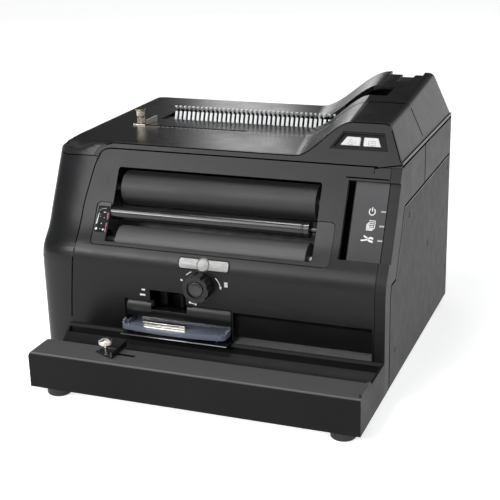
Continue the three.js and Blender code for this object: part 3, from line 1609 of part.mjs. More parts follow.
function speedControl() {
  const front = faceY + wall + clearance;
  return alongY(circle(knobX, knobZ, potRadius, shaftSides), front, front + potDepth)
    .subtract(alongY(circle(knobX, knobZ, knobShaftRadius + clearance, shaftSides), front - overrun,
      front + potDepth / 2));
}

// Electrics

function powerSupply() {
  const floor = bottomZ + panThickness + clearance;
  return box(supplyX - supplyWidth / 2, supplyX + supplyWidth / 2, supplyFrontY, supplyBackY, floor,
    floor + supplyHeight);
}

function controlBoard() {
  const floor = bottomZ + panThickness + clearance;
  const top = floor + boardStand + boardThickness;
  const front = boardY - boardDepth / 2;
  const back = boardY + boardDepth / 2;
  let board = box(boardLeftX, boardRightX, front, back, floor + boardStand, top);
  for (const x of [boardLeftX + 2 * standRadius, boardRightX - 2 * standRadius]) {
    for (const y of [front + 2 * standRadius, back - 2 * standRadius]) {
      board = board.add(alongZ(circle(x, y, standRadius, 8), floor, floor + boardStand + clearance));
    }
  }
  for (const share of chipShares) {
    const x = boardLeftX + boardWidth * share;
    board = board.add(box(x, x + boardWidth * chipWidthShare, boardY - boardDepth * chipFrontShare,
      boardY + boardDepth * chipBackShare, top - clearance, top + chipHeight));
  }
  return board;
}

function powerInlet() {
  const w = inletWidth / 2;
  const h = inletHeight / 2;
  const inside = backY - inletDepth;
  const flangeY = backY - wall - clearance;
  let inlet = box(inletX - w, inletX + w, inside, backY, inletZ - h, inletZ + h)
    .add(box(inletX - w - inletFlange, inletX + w + inletFlange, flangeY - inletFlangeThickness, flangeY,
      inletZ - h - inletFlange, inletZ + h + inletFlange))
    .subtract(box(inletX - w + inletWall, inletX + w - inletWall, inside + 3 * inletWall, backY + overrun,
      inletZ - h + inletWall, inletZ + h - inletWall));
  for (const [column, row] of [[-1, -inletRowShare], [1, -inletRowShare], [0, inletRowShare]]) {
    const x = inletX + inletPinPitch * column;
    const z = inletZ + inletPinPitch * row;
    inlet = inlet.add(box(x - inletPinSide / 2, x + inletPinSide / 2, inside + 2 * inletWall,
      inside + 3 * inletWall + inletPinLength, z - inletPinSide, z + inletPinSide));
  }
  return inlet;
}

// Materials

function finish(color, roughness, metalness = 0) {
  return new THREE.MeshStandardMaterial({ color, roughness, metalness });
}

const housingPlastic = finish(0x17181a, 0.35);
const trimPlastic = finish(0x0c0d0e, 0.3);
const rubber = finish(0x1b1b1c, 0.85);
const feetRubber = finish(0x0b0b0b, 0.9);
const barPlastic = finish(0x050506, 0.12);
const panelFilm = finish(0x1f2123, 0.4);
const nickel = finish(0xb9b6ae, 0.25, 1);
const steel = finish(0x8f9295, 0.35, 1);
const darkSteel = finish(0x222224, 0.45, 0.8);
const paleKey = finish(0xe9e9e6, 0.4);
const clearPlastic = finish(0xcfd8de, 0.1);
const fingerPlastic = finish(0xd8d9da, 0.4);
const zincSheet = finish(0x777b80, 0.5, 0.9);
const boardGreen = finish(0x1f4a33, 0.6);
const bronze = finish(0x8c6a3a, 0.4, 0.9);

const machine = new THREE.Group();

function add(name, body, material) {
  const mesh = new THREE.Mesh(geometryOf(body), material);
  mesh.name = name;
  machine.add(mesh);
}

add('front_fascia', frontFascia(), housingPlastic);
add('window_guard', windowGuard(), trimPlastic);
add('gauge_plate', gaugePlate(), clearPlastic);
add('left_cover', leftCover(), housingPlastic);
add('upper_front_panel', upperFrontPanel(), housingPlastic);
add('top_front_cover', topFrontCover(), housingPlastic);
add('top_rear_cover', topRearCover(), housingPlastic);
add('right_front_frame', rightFrontFrame(), housingPlastic);
add('right_rear_band', rightRearBand(), housingPlastic);
add('right_side_panel', rightSidePanel(), housingPlastic);
add('back_panel', backPanel(), housingPlastic);
add('base_pan', basePan(), zincSheet);
add('front_ledge', frontLedge(), housingPlastic);
add('control_panel', controlPanel(), panelFilm);
add('panel_board', panelBoard(), boardGreen);
add('button_bezel', buttonBezel(), trimPlastic);
add('button_left', button(true), paleKey);
add('button_right', button(false), paleKey);
add('button_board', buttonBoard(), boardGreen);

add('left_bearing_plate', bearingPlate(leftPlateX, false), zincSheet);
add('right_bearing_plate', bearingPlate(rightPlateX, true), zincSheet);
add('upper_left_bush', bush(leftPlateX, 1, upperRollerY, upperRollerZ), bronze);
add('upper_right_bush', bush(rightPlateX, -1, upperRollerY, upperRollerZ), bronze);
add('lower_left_bush', bush(leftPlateX, 1, lowerRollerY, lowerRollerZ), bronze);
add('lower_right_bush', bush(rightPlateX, -1, lowerRollerY, lowerRollerZ), bronze);
add('roller_bay_sheet', baySheet(), darkSteel);
add('upper_roller_sleeve', rollerSleeve(rollerLeftX, rollerRightX, upperRollerY, upperRollerZ,
  upperRollerRadius),
  rubber);
add('upper_roller_shaft', shaft(leftPlateX - wall, pulleyRightX, upperRollerY, upperRollerZ,
  rollerShaftRadius), steel);
add('lower_roller_sleeve', rollerSleeve(rollerLeftX + lowerRollerInset, rollerRightX - lowerRollerInset,
  lowerRollerY,
  lowerRollerZ, lowerRollerRadius), rubber);
add('lower_roller_shaft', shaft(leftPlateX - wall, pulleyRightX, lowerRollerY, lowerRollerZ,
  rollerShaftRadius), steel);
add('idler_bar', idlerBar(), barPlastic);
add('upper_pulley', pulley(upperRollerY, upperRollerZ, upperPulleyRadius, rollerShaftRadius + clearance),
  trimPlastic);
add('lower_pulley', pulley(lowerRollerY, lowerRollerZ, lowerPulleyRadius, rollerShaftRadius + clearance),
  trimPlastic);
add('drive_belt', driveBelt(), rubber);
add('drive_motor', driveMotor(), darkSteel);
add('motor_shaft', shaft(rightPlateX - wall + clearance, pulleyRightX, motorY, motorZ, motorShaftRadius),
  steel);
add('motor_pulley', pulley(motorY, motorZ, motorPulleyRadius, motorShaftRadius + clearance), trimPlastic);

add('chute_cover', chuteCover(), housingPlastic);
add('crimper_block', crimperBlock(), darkSteel);
add('crimper_jaw', crimperJaw(), steel);
add('crimper_anvil', crimperAnvil(), steel);
add('crimp_motor', crimpMotor(), darkSteel);
add('tray_shelf', trayShelf(), trimPlastic);
add('scrap_tray', scrapTray(), clearPlastic);
add('tray_bar', trayBar(), nickel);

add('speed_knob', speedKnob(), trimPlastic);
add('knob_cap', knobCap(), trimPlastic);
add('speed_control', speedControl(), darkSteel);

add('ledge_stop_blade', ledgeStopBlade(), darkSteel);
add('ledge_stop_screw', ledgeStopScrew(), nickel);
add('top_stop_blade', topStopBlade(), nickel);
add('top_stop_screw', topStopScrew(), nickel);

add('comb', comb(), fingerPlastic);

add('power_supply', powerSupply(), zincSheet);
add('control_board', controlBoard(), boardGreen);
add('power_inlet', powerInlet(), trimPlastic);

add('foot_front_left', foot(footLeftX, frontY + footFrontInset), feetRubber);
add('foot_front_right', foot(footRightX, frontY + footFrontInset), feetRubber);
add('foot_rear_left', foot(footLeftX, backY - footBackInset), feetRubber);
add('foot_rear_right', foot(footRightX, backY - footBackInset), feetRubber);

export default machine;
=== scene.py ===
# Coil binding machine: finishes, detailed pieces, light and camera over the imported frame.
# Sizes are in millimetres until point() or MM turns them into metres.
import json
import math

import bmesh
import bpy
from mathutils import Matrix, Vector
from mathutils.bvhtree import BVHTree


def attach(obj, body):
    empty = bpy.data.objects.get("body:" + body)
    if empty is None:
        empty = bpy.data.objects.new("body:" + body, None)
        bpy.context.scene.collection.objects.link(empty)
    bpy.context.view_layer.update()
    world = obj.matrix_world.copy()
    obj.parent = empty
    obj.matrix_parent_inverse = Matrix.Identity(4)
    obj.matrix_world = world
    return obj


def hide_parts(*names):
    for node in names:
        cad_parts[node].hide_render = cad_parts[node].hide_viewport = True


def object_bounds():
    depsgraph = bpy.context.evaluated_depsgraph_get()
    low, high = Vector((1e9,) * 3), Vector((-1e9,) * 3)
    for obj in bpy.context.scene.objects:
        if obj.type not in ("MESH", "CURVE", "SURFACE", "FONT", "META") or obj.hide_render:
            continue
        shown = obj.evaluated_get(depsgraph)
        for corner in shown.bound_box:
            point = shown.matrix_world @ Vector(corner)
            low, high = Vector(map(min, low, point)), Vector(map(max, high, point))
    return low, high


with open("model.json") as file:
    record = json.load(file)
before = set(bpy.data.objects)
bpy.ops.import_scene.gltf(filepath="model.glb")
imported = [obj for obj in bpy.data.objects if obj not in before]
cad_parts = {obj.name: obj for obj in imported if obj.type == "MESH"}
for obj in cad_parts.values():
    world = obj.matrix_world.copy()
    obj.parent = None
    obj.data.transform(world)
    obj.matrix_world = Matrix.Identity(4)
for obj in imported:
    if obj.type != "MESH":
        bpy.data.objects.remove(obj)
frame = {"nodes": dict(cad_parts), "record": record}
cad_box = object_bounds()

MM = 0.001
X_AXIS = Vector((1, 0, 0))
Y_AXIS = Vector((0, 1, 0))
Z_AXIS = Vector((0, 0, 1))

# Outer faces of the machine
LEFT_X, FRONT_Y, _ = (round(side / MM, 1) for side in cad_box[0])
RIGHT_X, BACK_Y, _ = (round(side / MM, 1) for side in cad_box[1])

# Sizes shared with the CAD source
FACE_Y = -120.0
TOP_Z = 266.0
BULGE_FOOT_Z = 122.0
BULGE_LOWER_PULL = 34.0
BULGE_UPPER_PULL = 35.0
SLOPE_START_Y = -91.4
SLOPE_START_Z = 184.0
SLOPE_ANGLE = math.radians(62.4)
SLOPE_NORMAL = Vector((0, -math.sin(SLOPE_ANGLE), math.cos(SLOPE_ANGLE)))
PANEL_DEPTH = 4.5
CAD_ROUND = 22.0


def point(x, y, z):
    return Vector((x, y, z)) * MM


def spaced(first, pitch, count):
    return [first + pitch * step for step in range(count)]


# Front face: the same curve as the CAD's, found by height

FACE_HALVINGS = 30
NORMAL_REACH = 0.5


def bulge_point(share):
    start = (FACE_Y, BULGE_FOOT_Z)
    low = (FACE_Y, BULGE_FOOT_Z + BULGE_LOWER_PULL)
    high = (
        SLOPE_START_Y - BULGE_UPPER_PULL * math.cos(SLOPE_ANGLE),
        SLOPE_START_Z - BULGE_UPPER_PULL * math.sin(SLOPE_ANGLE),
    )
    end = (SLOPE_START_Y, SLOPE_START_Z)
    rest = 1 - share
    weights = (rest**3, 3 * rest**2 * share, 3 * rest * share**2, share**3)
    return tuple(sum(w * p[axis] for w, p in zip(weights, (start, low, high, end))) for axis in (0, 1))


def slope_y(z):
    """Depth of the sloping upper half of the front, and of its plane further down."""
    return SLOPE_START_Y + (z - SLOPE_START_Z) / math.tan(SLOPE_ANGLE)


def front_y(z):
    if z <= BULGE_FOOT_Z:
        return FACE_Y
    if z >= SLOPE_START_Z:
        return slope_y(z)
    low, high = 0.0, 1.0
    for _ in range(FACE_HALVINGS):
        middle = (low + high) / 2
        if bulge_point(middle)[1] < z:
            low = middle
        else:
            high = middle
    return bulge_point(low)[0]


def front_normal(z):
    above = front_y(z + NORMAL_REACH)
    below = front_y(z - NORMAL_REACH)
    rise = Vector((0, above - below, 2 * NORMAL_REACH)).normalized()
    return Vector((0, -rise.z, rise.y))


# Places on the machine's faces, each lifted off its face

SURFACE_ABOVE = 500.0


def on_front(x, z, lift):
    return (Vector((x, front_y(z), z)) + front_normal(z) * lift) * MM


def on_slope(x, z, lift):
    return (Vector((x, slope_y(z), z)) + SLOPE_NORMAL * lift) * MM


def on_side(y, z, lift):
    return point(RIGHT_X + lift, y, z)


def surface_of(node_name):
    mesh = frame["nodes"][node_name].data
    corners = [vertex.co for vertex in mesh.vertices]
    return BVHTree.FromPolygons(corners, [tuple(polygon.vertices) for polygon in mesh.polygons])


TOP_SURFACES = [surface_of("top_front_cover"), surface_of("top_rear_cover")]
FASCIA_SURFACE = surface_of("front_fascia")
CREST_SURFACE = surface_of("upper_front_panel")


def on_top(x, y, lift):
    hits = [surface.ray_cast(point(x, y, SURFACE_ABOVE), -Z_AXIS) for surface in TOP_SURFACES]
    where, normal, _, _ = max((hit for hit in hits if hit[0] is not None), key=lambda hit: hit[0].z)
    return where + normal * lift * MM


# Shader nodes

MIX_SHARE, MIX_FIRST, MIX_SECOND, MIX_COLOR = 0, 6, 7, 2
NOISE_RANGE = (0.3, 0.7)


def set_inputs(node, inputs):
    """Inputs are pairs of an input's name or number and its value."""
    for name, value in inputs:
        node.inputs[name].default_value = value


def new_node(tree, kind, inputs=(), **settings):
    node = tree.nodes.new("ShaderNode" + kind)
    for name, value in settings.items():
        setattr(node, name, value)
    set_inputs(node, inputs)
    return node


def joined(tree, operation, first, second):
    node = new_node(tree, "Math", operation=operation)
    tree.links.new(first, node.inputs[0])
    tree.links.new(second, node.inputs[1])
    return node.outputs["Value"]


def map_range(tree, source, limits, results=(0.0, 1.0), **settings):
    places = ("From Min", "From Max", "To Min", "To Max")
    node = new_node(tree, "MapRange", zip(places, (*limits, *results)), **settings)
    tree.links.new(source, node.inputs["Value"])
    return node.outputs["Result"]


def color_mix(tree, share, second):
    """A mix towards the second tone; its first colour is set by the caller."""
    node = new_node(tree, "Mix", [(MIX_SECOND, (*second, 1))], data_type="RGBA")
    tree.links.new(share, node.inputs[MIX_SHARE])
    return node


def seen_ray(tree):
    """One for rays of the camera, gloss and glass, zero for the light that the surfaces gather."""
    rays = new_node(tree, "LightPath").outputs
    seen = joined(tree, "MAXIMUM", rays["Is Camera Ray"], rays["Is Glossy Ray"])
    return joined(tree, "MAXIMUM", seen, rays["Is Transmission Ray"])


class Shader:
    """A Principled material whose tone, roughness and relief come from noise."""

    def __init__(self, name):
        self.material = bpy.data.materials.new(name)
        self.material.use_nodes = True
        self.tree = self.material.node_tree
        self.principled = self.tree.nodes["Principled BSDF"]
        self.coordinate = new_node(self.tree, "TexCoord")

    def set(self, *inputs):
        set_inputs(self.principled, inputs)

    def link(self, source, target):
        self.tree.links.new(source, target)

    def drive(self, source, name):
        self.link(source, self.principled.inputs[name])

    def noise(self, scale, detail=2.0, stretch=(1, 1, 1)):
        place = new_node(self.tree, "Mapping", [("Scale", stretch)])
        texture = new_node(self.tree, "TexNoise", [("Scale", scale), ("Detail", detail)])
        self.link(self.coordinate.outputs["Object"], place.inputs["Vector"])
        self.link(place.outputs["Vector"], texture.inputs["Vector"])
        return texture.outputs["Fac"]

    def rough_by(self, source, rough):
        self.drive(map_range(self.tree, source, NOISE_RANGE, rough), "Roughness")

    def color_by(self, source, dark, light):
        mix = color_mix(self.tree, map_range(self.tree, source, NOISE_RANGE), light)
        set_inputs(mix, [(MIX_FIRST, (*dark, 1))])
        self.drive(mix.outputs[MIX_COLOR], "Base Color")

    def bump(self, source, height):
        made = new_node(self.tree, "Bump", [("Strength", 1.0), ("Distance", height * MM)])
        self.link(source, made.inputs["Height"])
        self.drive(made.outputs["Normal"], "Normal")


def tone_where(material, tone, *limits):
    """Another tone where all limits hold; each goes from none to full between two values along one axis."""
    tree = material.node_tree
    base = tree.nodes["Principled BSDF"].inputs["Base Color"]
    before = base.links[0].from_socket
    geometry = new_node(tree, "NewGeometry")
    share = None
    for source, axis, none_at, full_at in limits:
        size = MM if source == "Position" else 1.0
        parts = new_node(tree, "SeparateXYZ")
        tree.links.new(geometry.outputs[source], parts.inputs["Vector"])
        fade = map_range(tree, parts.outputs[axis], (none_at * size, full_at * size))
        share = fade if share is None else joined(tree, "MULTIPLY", share, fade)
    mix = color_mix(tree, share, tone)
    tree.links.new(before, mix.inputs[MIX_FIRST])
    tree.links.new(mix.outputs[MIX_COLOR], base)


# Kinds of material: dark and light tone, roughness from and to, depth of the relief

SHADED = 0.9
CLEAR_ROUGH_SPAN = 0.06
PRINT_ROUGH_SPAN = 0.1


def shaded(tone):
    return tuple(SHADED * part for part in tone)


def moulded_plastic(name, dark, light, rough, grain=0.01, shine=0.5):
    """Spark-eroded moulded plastic: fine grain, faint cloudy tone and gloss."""
    made = Shader(name)
    made.color_by(made.noise(scale=9.0, detail=3.0), dark, light)
    made.rough_by(made.noise(scale=35.0, detail=4.0), rough)
    made.bump(made.noise(scale=2600.0, detail=1.0), grain)
    made.set(("IOR", 1.5), ("Specular IOR Level", shine))
    return made.material


def painted_sheet(name, dark, light, rough, shine=0.5):
    """Powder-coated sheet metal with a faint orange peel."""
    made = Shader(name)
    made.color_by(made.noise(scale=12.0), dark, light)
    made.rough_by(made.noise(scale=60.0, detail=3.0), rough)
    made.bump(made.noise(scale=900.0), height=0.02)
    made.set(("Specular IOR Level", shine))
    return made.material


def rubber(name, dark, light, rough, turned=(1, 1, 1)):
    made = Shader(name)
    made.color_by(made.noise(scale=40.0, detail=4.0, stretch=turned), dark, light)
    made.rough_by(made.noise(scale=80.0, detail=3.0, stretch=turned), rough)
    made.bump(made.noise(scale=1400.0, stretch=turned), height=0.03)
    made.set(("Sheen Weight", 0.05))
    return made.material


def bare_metal(name, dark, light, rough, brushed=(1, 1, 1)):
    made = Shader(name)
    made.color_by(made.noise(scale=60.0, detail=3.0, stretch=brushed), dark, light)
    made.rough_by(made.noise(scale=220.0, detail=4.0, stretch=brushed), rough)
    made.bump(made.noise(scale=900.0, stretch=brushed), height=0.01)
    made.set(("Metallic", 1.0))
    return made.material


def clear_plastic(name, tint, rough, clear):
    made = Shader(name)
    made.color_by(made.noise(scale=30.0, stretch=(0.3, 1, 1)), shaded(tint), tint)
    made.set(("Transmission Weight", clear), ("IOR", 1.49))
    made.rough_by(made.noise(scale=50.0, detail=3.0), (rough, rough + CLEAR_ROUGH_SPAN))
    made.bump(made.noise(scale=120.0), height=0.02)
    return made.material


def printed(name, tone, rough=0.5):
    made = Shader(name)
    made.color_by(made.noise(scale=900.0), shaded(tone), tone)
    made.rough_by(made.noise(scale=300.0), (rough, rough + PRINT_ROUGH_SPAN))
    return made.material


# Moulded plastics

HOUSING = moulded_plastic(
    "housing_plastic", (0.0042, 0.0043, 0.0046), (0.006, 0.0061, 0.0065),
    rough=(0.28, 0.34), shine=0.25,
)
SIDE_COVER = moulded_plastic(
    "side_cover_plastic", (0.005, 0.0052, 0.0058), (0.007, 0.0073, 0.0081),
    rough=(0.27, 0.33), shine=0.25,
)
TOP_PLASTIC = moulded_plastic(
    "top_plastic", (0.0062, 0.0063, 0.0066), (0.0085, 0.0086, 0.009),
    rough=(0.26, 0.32), shine=0.35,
)
SIDE_BAND = moulded_plastic(
    "side_band_plastic", (0.0062, 0.0063, 0.0066), (0.0085, 0.0086, 0.009),
    rough=(0.4, 0.46), shine=0.22,
)
TRIM = moulded_plastic(
    "trim_plastic", (0.006, 0.006, 0.0065), (0.009, 0.009, 0.0098),
    rough=(0.28, 0.34), shine=0.35,
)
BLACK = moulded_plastic(
    "black_plastic", (0.002, 0.002, 0.0022), (0.003, 0.003, 0.0033),
    rough=(0.45, 0.55), shine=0.15,
)
BAR = moulded_plastic(
    "bar_gloss", (0.004, 0.004, 0.0045), (0.006, 0.006, 0.0065),
    rough=(0.14, 0.2), grain=0.0, shine=0.6,
)
FILM = moulded_plastic(
    "panel_film", (0.034, 0.0347, 0.037), (0.04, 0.0406, 0.0432),
    rough=(0.38, 0.45), grain=0.008, shine=0.35,
)
KEY = moulded_plastic("pale_key", (0.54, 0.54, 0.53), (0.61, 0.61, 0.6), rough=(0.35, 0.45), grain=0.008)
FINGER = moulded_plastic("finger_plastic", (0.62, 0.63, 0.64), (0.74, 0.75, 0.76), (0.3, 0.4), grain=0.005)
CAP = moulded_plastic(
    "knob_cap_plastic", (0.016, 0.0165, 0.018), (0.022, 0.0225, 0.024),
    rough=(0.2, 0.28), grain=0.006, shine=0.5,
)
BEZEL = moulded_plastic(
    "bezel_plastic", (0.003, 0.003, 0.0033), (0.0045, 0.0045, 0.005),
    rough=(0.42, 0.5), shine=0.15,
)
LEDGE = moulded_plastic(
    "ledge_plastic", (0.009, 0.009, 0.0095), (0.012, 0.012, 0.0126),
    rough=(0.36, 0.44), grain=0.012, shine=0.09,
)
GAUGE = moulded_plastic(
    "gauge_window", (0.004, 0.005, 0.0045), (0.01, 0.012, 0.011),
    rough=(0.35, 0.5), grain=0.02, shine=0.08,
)
SCREW = moulded_plastic(
    "black_screw", (0.002, 0.002, 0.002), (0.003, 0.003, 0.003),
    rough=(0.5, 0.6), shine=0.1,
)
SEAM = moulded_plastic(
    "seam_shadow", (0.0006, 0.0006, 0.0006), (0.001, 0.001, 0.001),
    rough=(0.8, 0.9), grain=0.0, shine=0.0,
)

# Clear plastics, painted sheet and rubber

CLEAR = clear_plastic("clear_plastic", (0.3, 0.345, 0.43), rough=0.1, clear=0.6)
TRAY = clear_plastic("clear_tray", (0.36, 0.4, 0.48), rough=0.1, clear=0.62)
SHEET_SIDE = painted_sheet(
    "painted_side", (0.02, 0.02, 0.02), (0.024, 0.024, 0.024), rough=(0.5, 0.56), shine=0.25,
)
BOARD = painted_sheet("board", (0.01, 0.06, 0.03), (0.015, 0.08, 0.04), rough=(0.35, 0.45))
ALONG_ROLLER = (0.2, 1, 1)
ROLLER = rubber("roller_rubber", (0.011, 0.011, 0.0115), (0.015, 0.015, 0.0155), (0.5, 0.6), ALONG_ROLLER)
# Painted light: the lower roller gets a lighter copy of the roller rubber for the light it catches at the
# front of the bay.
LIT_LOWER_ROLLER = rubber(
    "lower_roller_lit_rubber", (0.05, 0.05, 0.051), (0.062, 0.062, 0.063), (0.46, 0.56), ALONG_ROLLER,
)
FOOT_RUBBER = rubber("foot_rubber", (0.005, 0.005, 0.005), (0.009, 0.009, 0.009), (0.6, 0.75))
BELT_RUBBER = rubber("belt_rubber", (0.012, 0.012, 0.012), (0.02, 0.02, 0.02), (0.6, 0.75))

# Metals

NICKEL = bare_metal("nickel", (0.6, 0.55, 0.48), (0.76, 0.71, 0.64), (0.12, 0.24))
OLD_NICKEL = bare_metal("old_nickel", (0.3, 0.25, 0.19), (0.46, 0.4, 0.32), (0.1, 0.24))
STEEL = bare_metal("steel", (0.45, 0.46, 0.47), (0.6, 0.61, 0.62), (0.25, 0.4), brushed=(0.1, 1, 1))
DARK_STEEL = bare_metal("dark_steel", (0.05, 0.05, 0.052), (0.08, 0.08, 0.082), (0.35, 0.5))
DARK_METAL = bare_metal("blackened_metal", (0.012, 0.012, 0.013), (0.02, 0.02, 0.021), (0.4, 0.55))
ZINC = bare_metal("zinc_sheet", (0.38, 0.4, 0.42), (0.55, 0.57, 0.58), (0.35, 0.55))
BRONZE = bare_metal("oiled_bronze", (0.02, 0.014, 0.009), (0.032, 0.022, 0.014), (0.45, 0.6))
PLATE_METAL = bare_metal(
    "badge_face", (0.15, 0.15, 0.147), (0.225, 0.225, 0.22), (0.4, 0.52), brushed=(1, 1, 6),
)

# Prints

WHITE_PRINT = printed("white_print", (0.78, 0.78, 0.78))
PALE_PRINT = printed("pale_print", (0.42, 0.42, 0.43))
GREY_PRINT = printed("grey_print", (0.3, 0.3, 0.31))
RED_PRINT = printed("red_print", (0.42, 0.12, 0.15))
LAMP = printed("lamp_window", (0.32, 0.33, 0.35), rough=0.3)

# Tones that change within a piece: source, axis, value of none and value of full

DARK_TONE = (0.008, 0.008, 0.0085)
SHADED_BEHIND_TINES = ("Position", "Y", 100.5, 100.7)
UNDER_HOOK_TIPS = ("Position", "Z", 277.6, 277.2)
SHADED_INSIDE_SLOT = ("Position", "Z", 264.4, 264.0)
TOWARDS_FILM_FOOT = ("Position", "Z", 240.0, 165.0)
LEDGE_TOP_LIGHT = (0.076, 0.076, 0.077)
FACING_UP = ("Normal", "Z", 0.75, 0.98)
AT_LEDGE_TOP = ("Position", "Z", 52.5, 54.5)
LEDGE_EDGE_HIGHLIGHT = (0.15, 0.15, 0.152)
AT_LEDGE_FRONT = ("Position", "Y", -215.6, -217.4)
AT_LEDGE_EDGE = ("Position", "Z", 51.8, 53.6)
TRAY_RIM_HIGHLIGHT = (0.72, 0.78, 0.88)
AT_TRAY_RIM = ("Position", "Z", 67.2, 67.9)

# Painted shade: the comb's hook shanks behind the tines and under the hook tips are darkened for the shadow
# between them.
tone_where(FINGER, DARK_TONE, SHADED_BEHIND_TINES, UNDER_HOOK_TIPS)
# Painted shade: the comb's rail down in the slot is darkened for the shadow in the slot.
tone_where(FINGER, DARK_TONE, SHADED_INSIDE_SLOT)
tone_where(FILM, DARK_TONE, TOWARDS_FILM_FOOT)
# Painted light: the ledge's upward-facing top is painted lighter for the light falling on it from above.
tone_where(LEDGE, LEDGE_TOP_LIGHT, FACING_UP, AT_LEDGE_TOP)
# Painted highlight: a lighter band along the ledge's front top edge, where its round catches the light.
tone_where(LEDGE, LEDGE_EDGE_HIGHLIGHT, AT_LEDGE_FRONT, AT_LEDGE_EDGE)
# Painted highlight: a pale band along the top of the clear tray's rim, where its edge catches the light.
tone_where(TRAY, TRAY_RIM_HIGHLIGHT, AT_TRAY_RIM)

# Finish of every CAD node: its slot's material, or one of its own

SLOT_MATERIAL = {
    "housing": HOUSING,
    "trim": TRIM,
    "rubber": BELT_RUBBER,
    "bar": BAR,
    "panel_film": FILM,
    "nickel": NICKEL,
    "steel": STEEL,
    "dark_steel": DARK_STEEL,
    "zinc_sheet": ZINC,
    "bronze": BRONZE,
    "pale_key": KEY,
    "clear": CLEAR,
    "fingers": FINGER,
    "board": BOARD,
}
NODE_MATERIAL = {
    "scrap_tray": TRAY,
    "top_stop_screw": OLD_NICKEL,
    "left_cover": SIDE_COVER,
    "button_bezel": BEZEL,
    "front_ledge": LEDGE,
    "gauge_plate": GAUGE,
    "crimper_block": DARK_METAL,
    "crimper_jaw": DARK_METAL,
    "crimper_anvil": DARK_METAL,
    "ledge_stop_blade": DARK_STEEL,
    "top_front_cover": TOP_PLASTIC,
    "top_rear_cover": TOP_PLASTIC,
    "right_side_panel": SHEET_SIDE,
    "upper_roller_sleeve": ROLLER,
    "lower_roller_sleeve": LIT_LOWER_ROLLER,
    "right_front_frame": SIDE_BAND,
    "right_rear_band": SIDE_BAND,
    **{f"foot_{end}_{side}": FOOT_RUBBER for end in ("front", "rear") for side in ("left", "right")},
}
FLAT_NODES = {"drive_belt", "gauge_plate"}
EDGE_WIDTH = {
    "housing": 0.5,
    "trim": 0.4,
    "clear": 0.3,
    "pale_key": 0.7,
    "panel_film": 0.3,
    "zinc_sheet": 0.2,
}
FINE_EDGE = 0.25
EDGE_SEGMENTS = 2
SHARP_ANGLE = 28.0
WELD_REACH = 0.002
FULL_WEIGHT = 100


def round_edges(piece, width, angle=SHARP_ANGLE):
    """Edges sharper than the angle get a small radius, and the rest is shaded smooth."""
    mesh = piece.data
    for name in ("custom_normal", "sharp_face", "sharp_edge"):
        if name in mesh.attributes:
            mesh.attributes.remove(mesh.attributes[name])
    mesh.shade_smooth()
    weld = piece.modifiers.new("weld", "WELD")
    weld.merge_threshold = WELD_REACH * MM
    bevel = piece.modifiers.new("edge", "BEVEL")
    bevel.width = width * MM
    bevel.segments = EDGE_SEGMENTS
    bevel.limit_method = "ANGLE"
    bevel.angle_limit = math.radians(angle)
    bevel.harden_normals = True
    bevel.use_clamp_overlap = True
    bevel.miter_outer = "MITER_ARC"
    normals = piece.modifiers.new("normals", "WEIGHTED_NORMAL")
    normals.keep_sharp = True
    normals.weight = FULL_WEIGHT


def finish_nodes():
    slots = {part["node"]: part["material_slot"] for part in frame["record"]["subparts"]}
    for name, node in frame["nodes"].items():
        slot = slots[name]
        node.data.materials.clear()
        node.data.materials.append(NODE_MATERIAL.get(name, SLOT_MATERIAL[slot]))
        if name not in FLAT_NODES:
            round_edges(node, EDGE_WIDTH.get(slot, FINE_EDGE))


finish_nodes()


# Making a piece


def placed_piece(name, mesh, body):
    made = bpy.data.objects.new(name, mesh)
    bpy.context.scene.collection.objects.link(made)
    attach(made, body)
    return made


class Build:
    """Vertices and faces of one piece, gathered before its mesh is made."""

    def __init__(self):
        self.vertices = []
        self.faces = []

    def ring_loft(self, rings):
        """A skin over rings of equal count, with a face on each end."""
        base = len(self.vertices)
        count = len(rings[0])
        for ring in rings:
            self.vertices.extend(ring)
        top = base + (len(rings) - 1) * count
        for here in range(base, top, count):
            there = here + count
            for i in range(count):
                j = (i + 1) % count
                self.faces.append((here + i, here + j, there + j, there + i))
        self.faces.append(tuple(base + i for i in reversed(range(count))))
        self.faces.append(tuple(top + i for i in range(count)))

    def turned(self, profile, place, axis, sides, swell=None):
        """Profile points are (radius, length along the axis)."""
        axis = axis.normalized()
        side = axis.orthogonal().normalized()
        other = axis.cross(side)
        rings = []
        for radius, length in profile:
            ring = []
            for i in range(sides):
                turn = 2 * math.pi * i / sides
                reach = radius + (swell(turn) if swell else 0.0)
                outward = side * (reach * math.cos(turn)) + other * (reach * math.sin(turn))
                ring.append((place + axis * length + outward) * MM)
            rings.append(ring)
        self.ring_loft(rings)

    def make(self, name, material, slot, body="base", smooth=True):
        mesh = bpy.data.meshes.new(name)
        mesh.from_pydata([tuple(v) for v in self.vertices], [], self.faces)
        mesh.materials.append(material)
        mesh.update()
        if smooth:
            mesh.shade_smooth()
        return placed_piece(name, mesh, body)


# Flat outlines, and prints made of them: a stroke is (width, points), a round mark (place, place, radius)

PRINT_LOW = -0.05
PRINT_HIGH = 0.06
DOT_SIDES = 12
DISC_SIDES = 14
ROUND_SIDES = 48


def rectangle(left, right, foot, head):
    return [(left, foot), (right, foot), (right, head), (left, head)]


def arc(centre, radius, start, end, steps):
    points = []
    for i in range(steps + 1):
        turn = math.radians(start + (end - start) * i / steps)
        points.append((centre[0] + radius * math.cos(turn), centre[1] + radius * math.sin(turn)))
    return points


def circle_points(u, v, radius, sides):
    return arc((u, v), radius, 0, 360 - 360 / sides, sides - 1)


def stroke_outline(line, width):
    """An open line of flat points made into the outline of a ribbon."""
    left = []
    right = []
    for i, spot in enumerate(line):
        before = line[max(i - 1, 0)]
        after = line[min(i + 1, len(line) - 1)]
        run = Vector((after[0] - before[0], after[1] - before[1])).normalized()
        side = Vector((-run.y, run.x)) * (width / 2)
        left.append((spot[0] + side.x, spot[1] + side.y))
        right.append((spot[0] - side.x, spot[1] - side.y))
    return left + right[::-1]


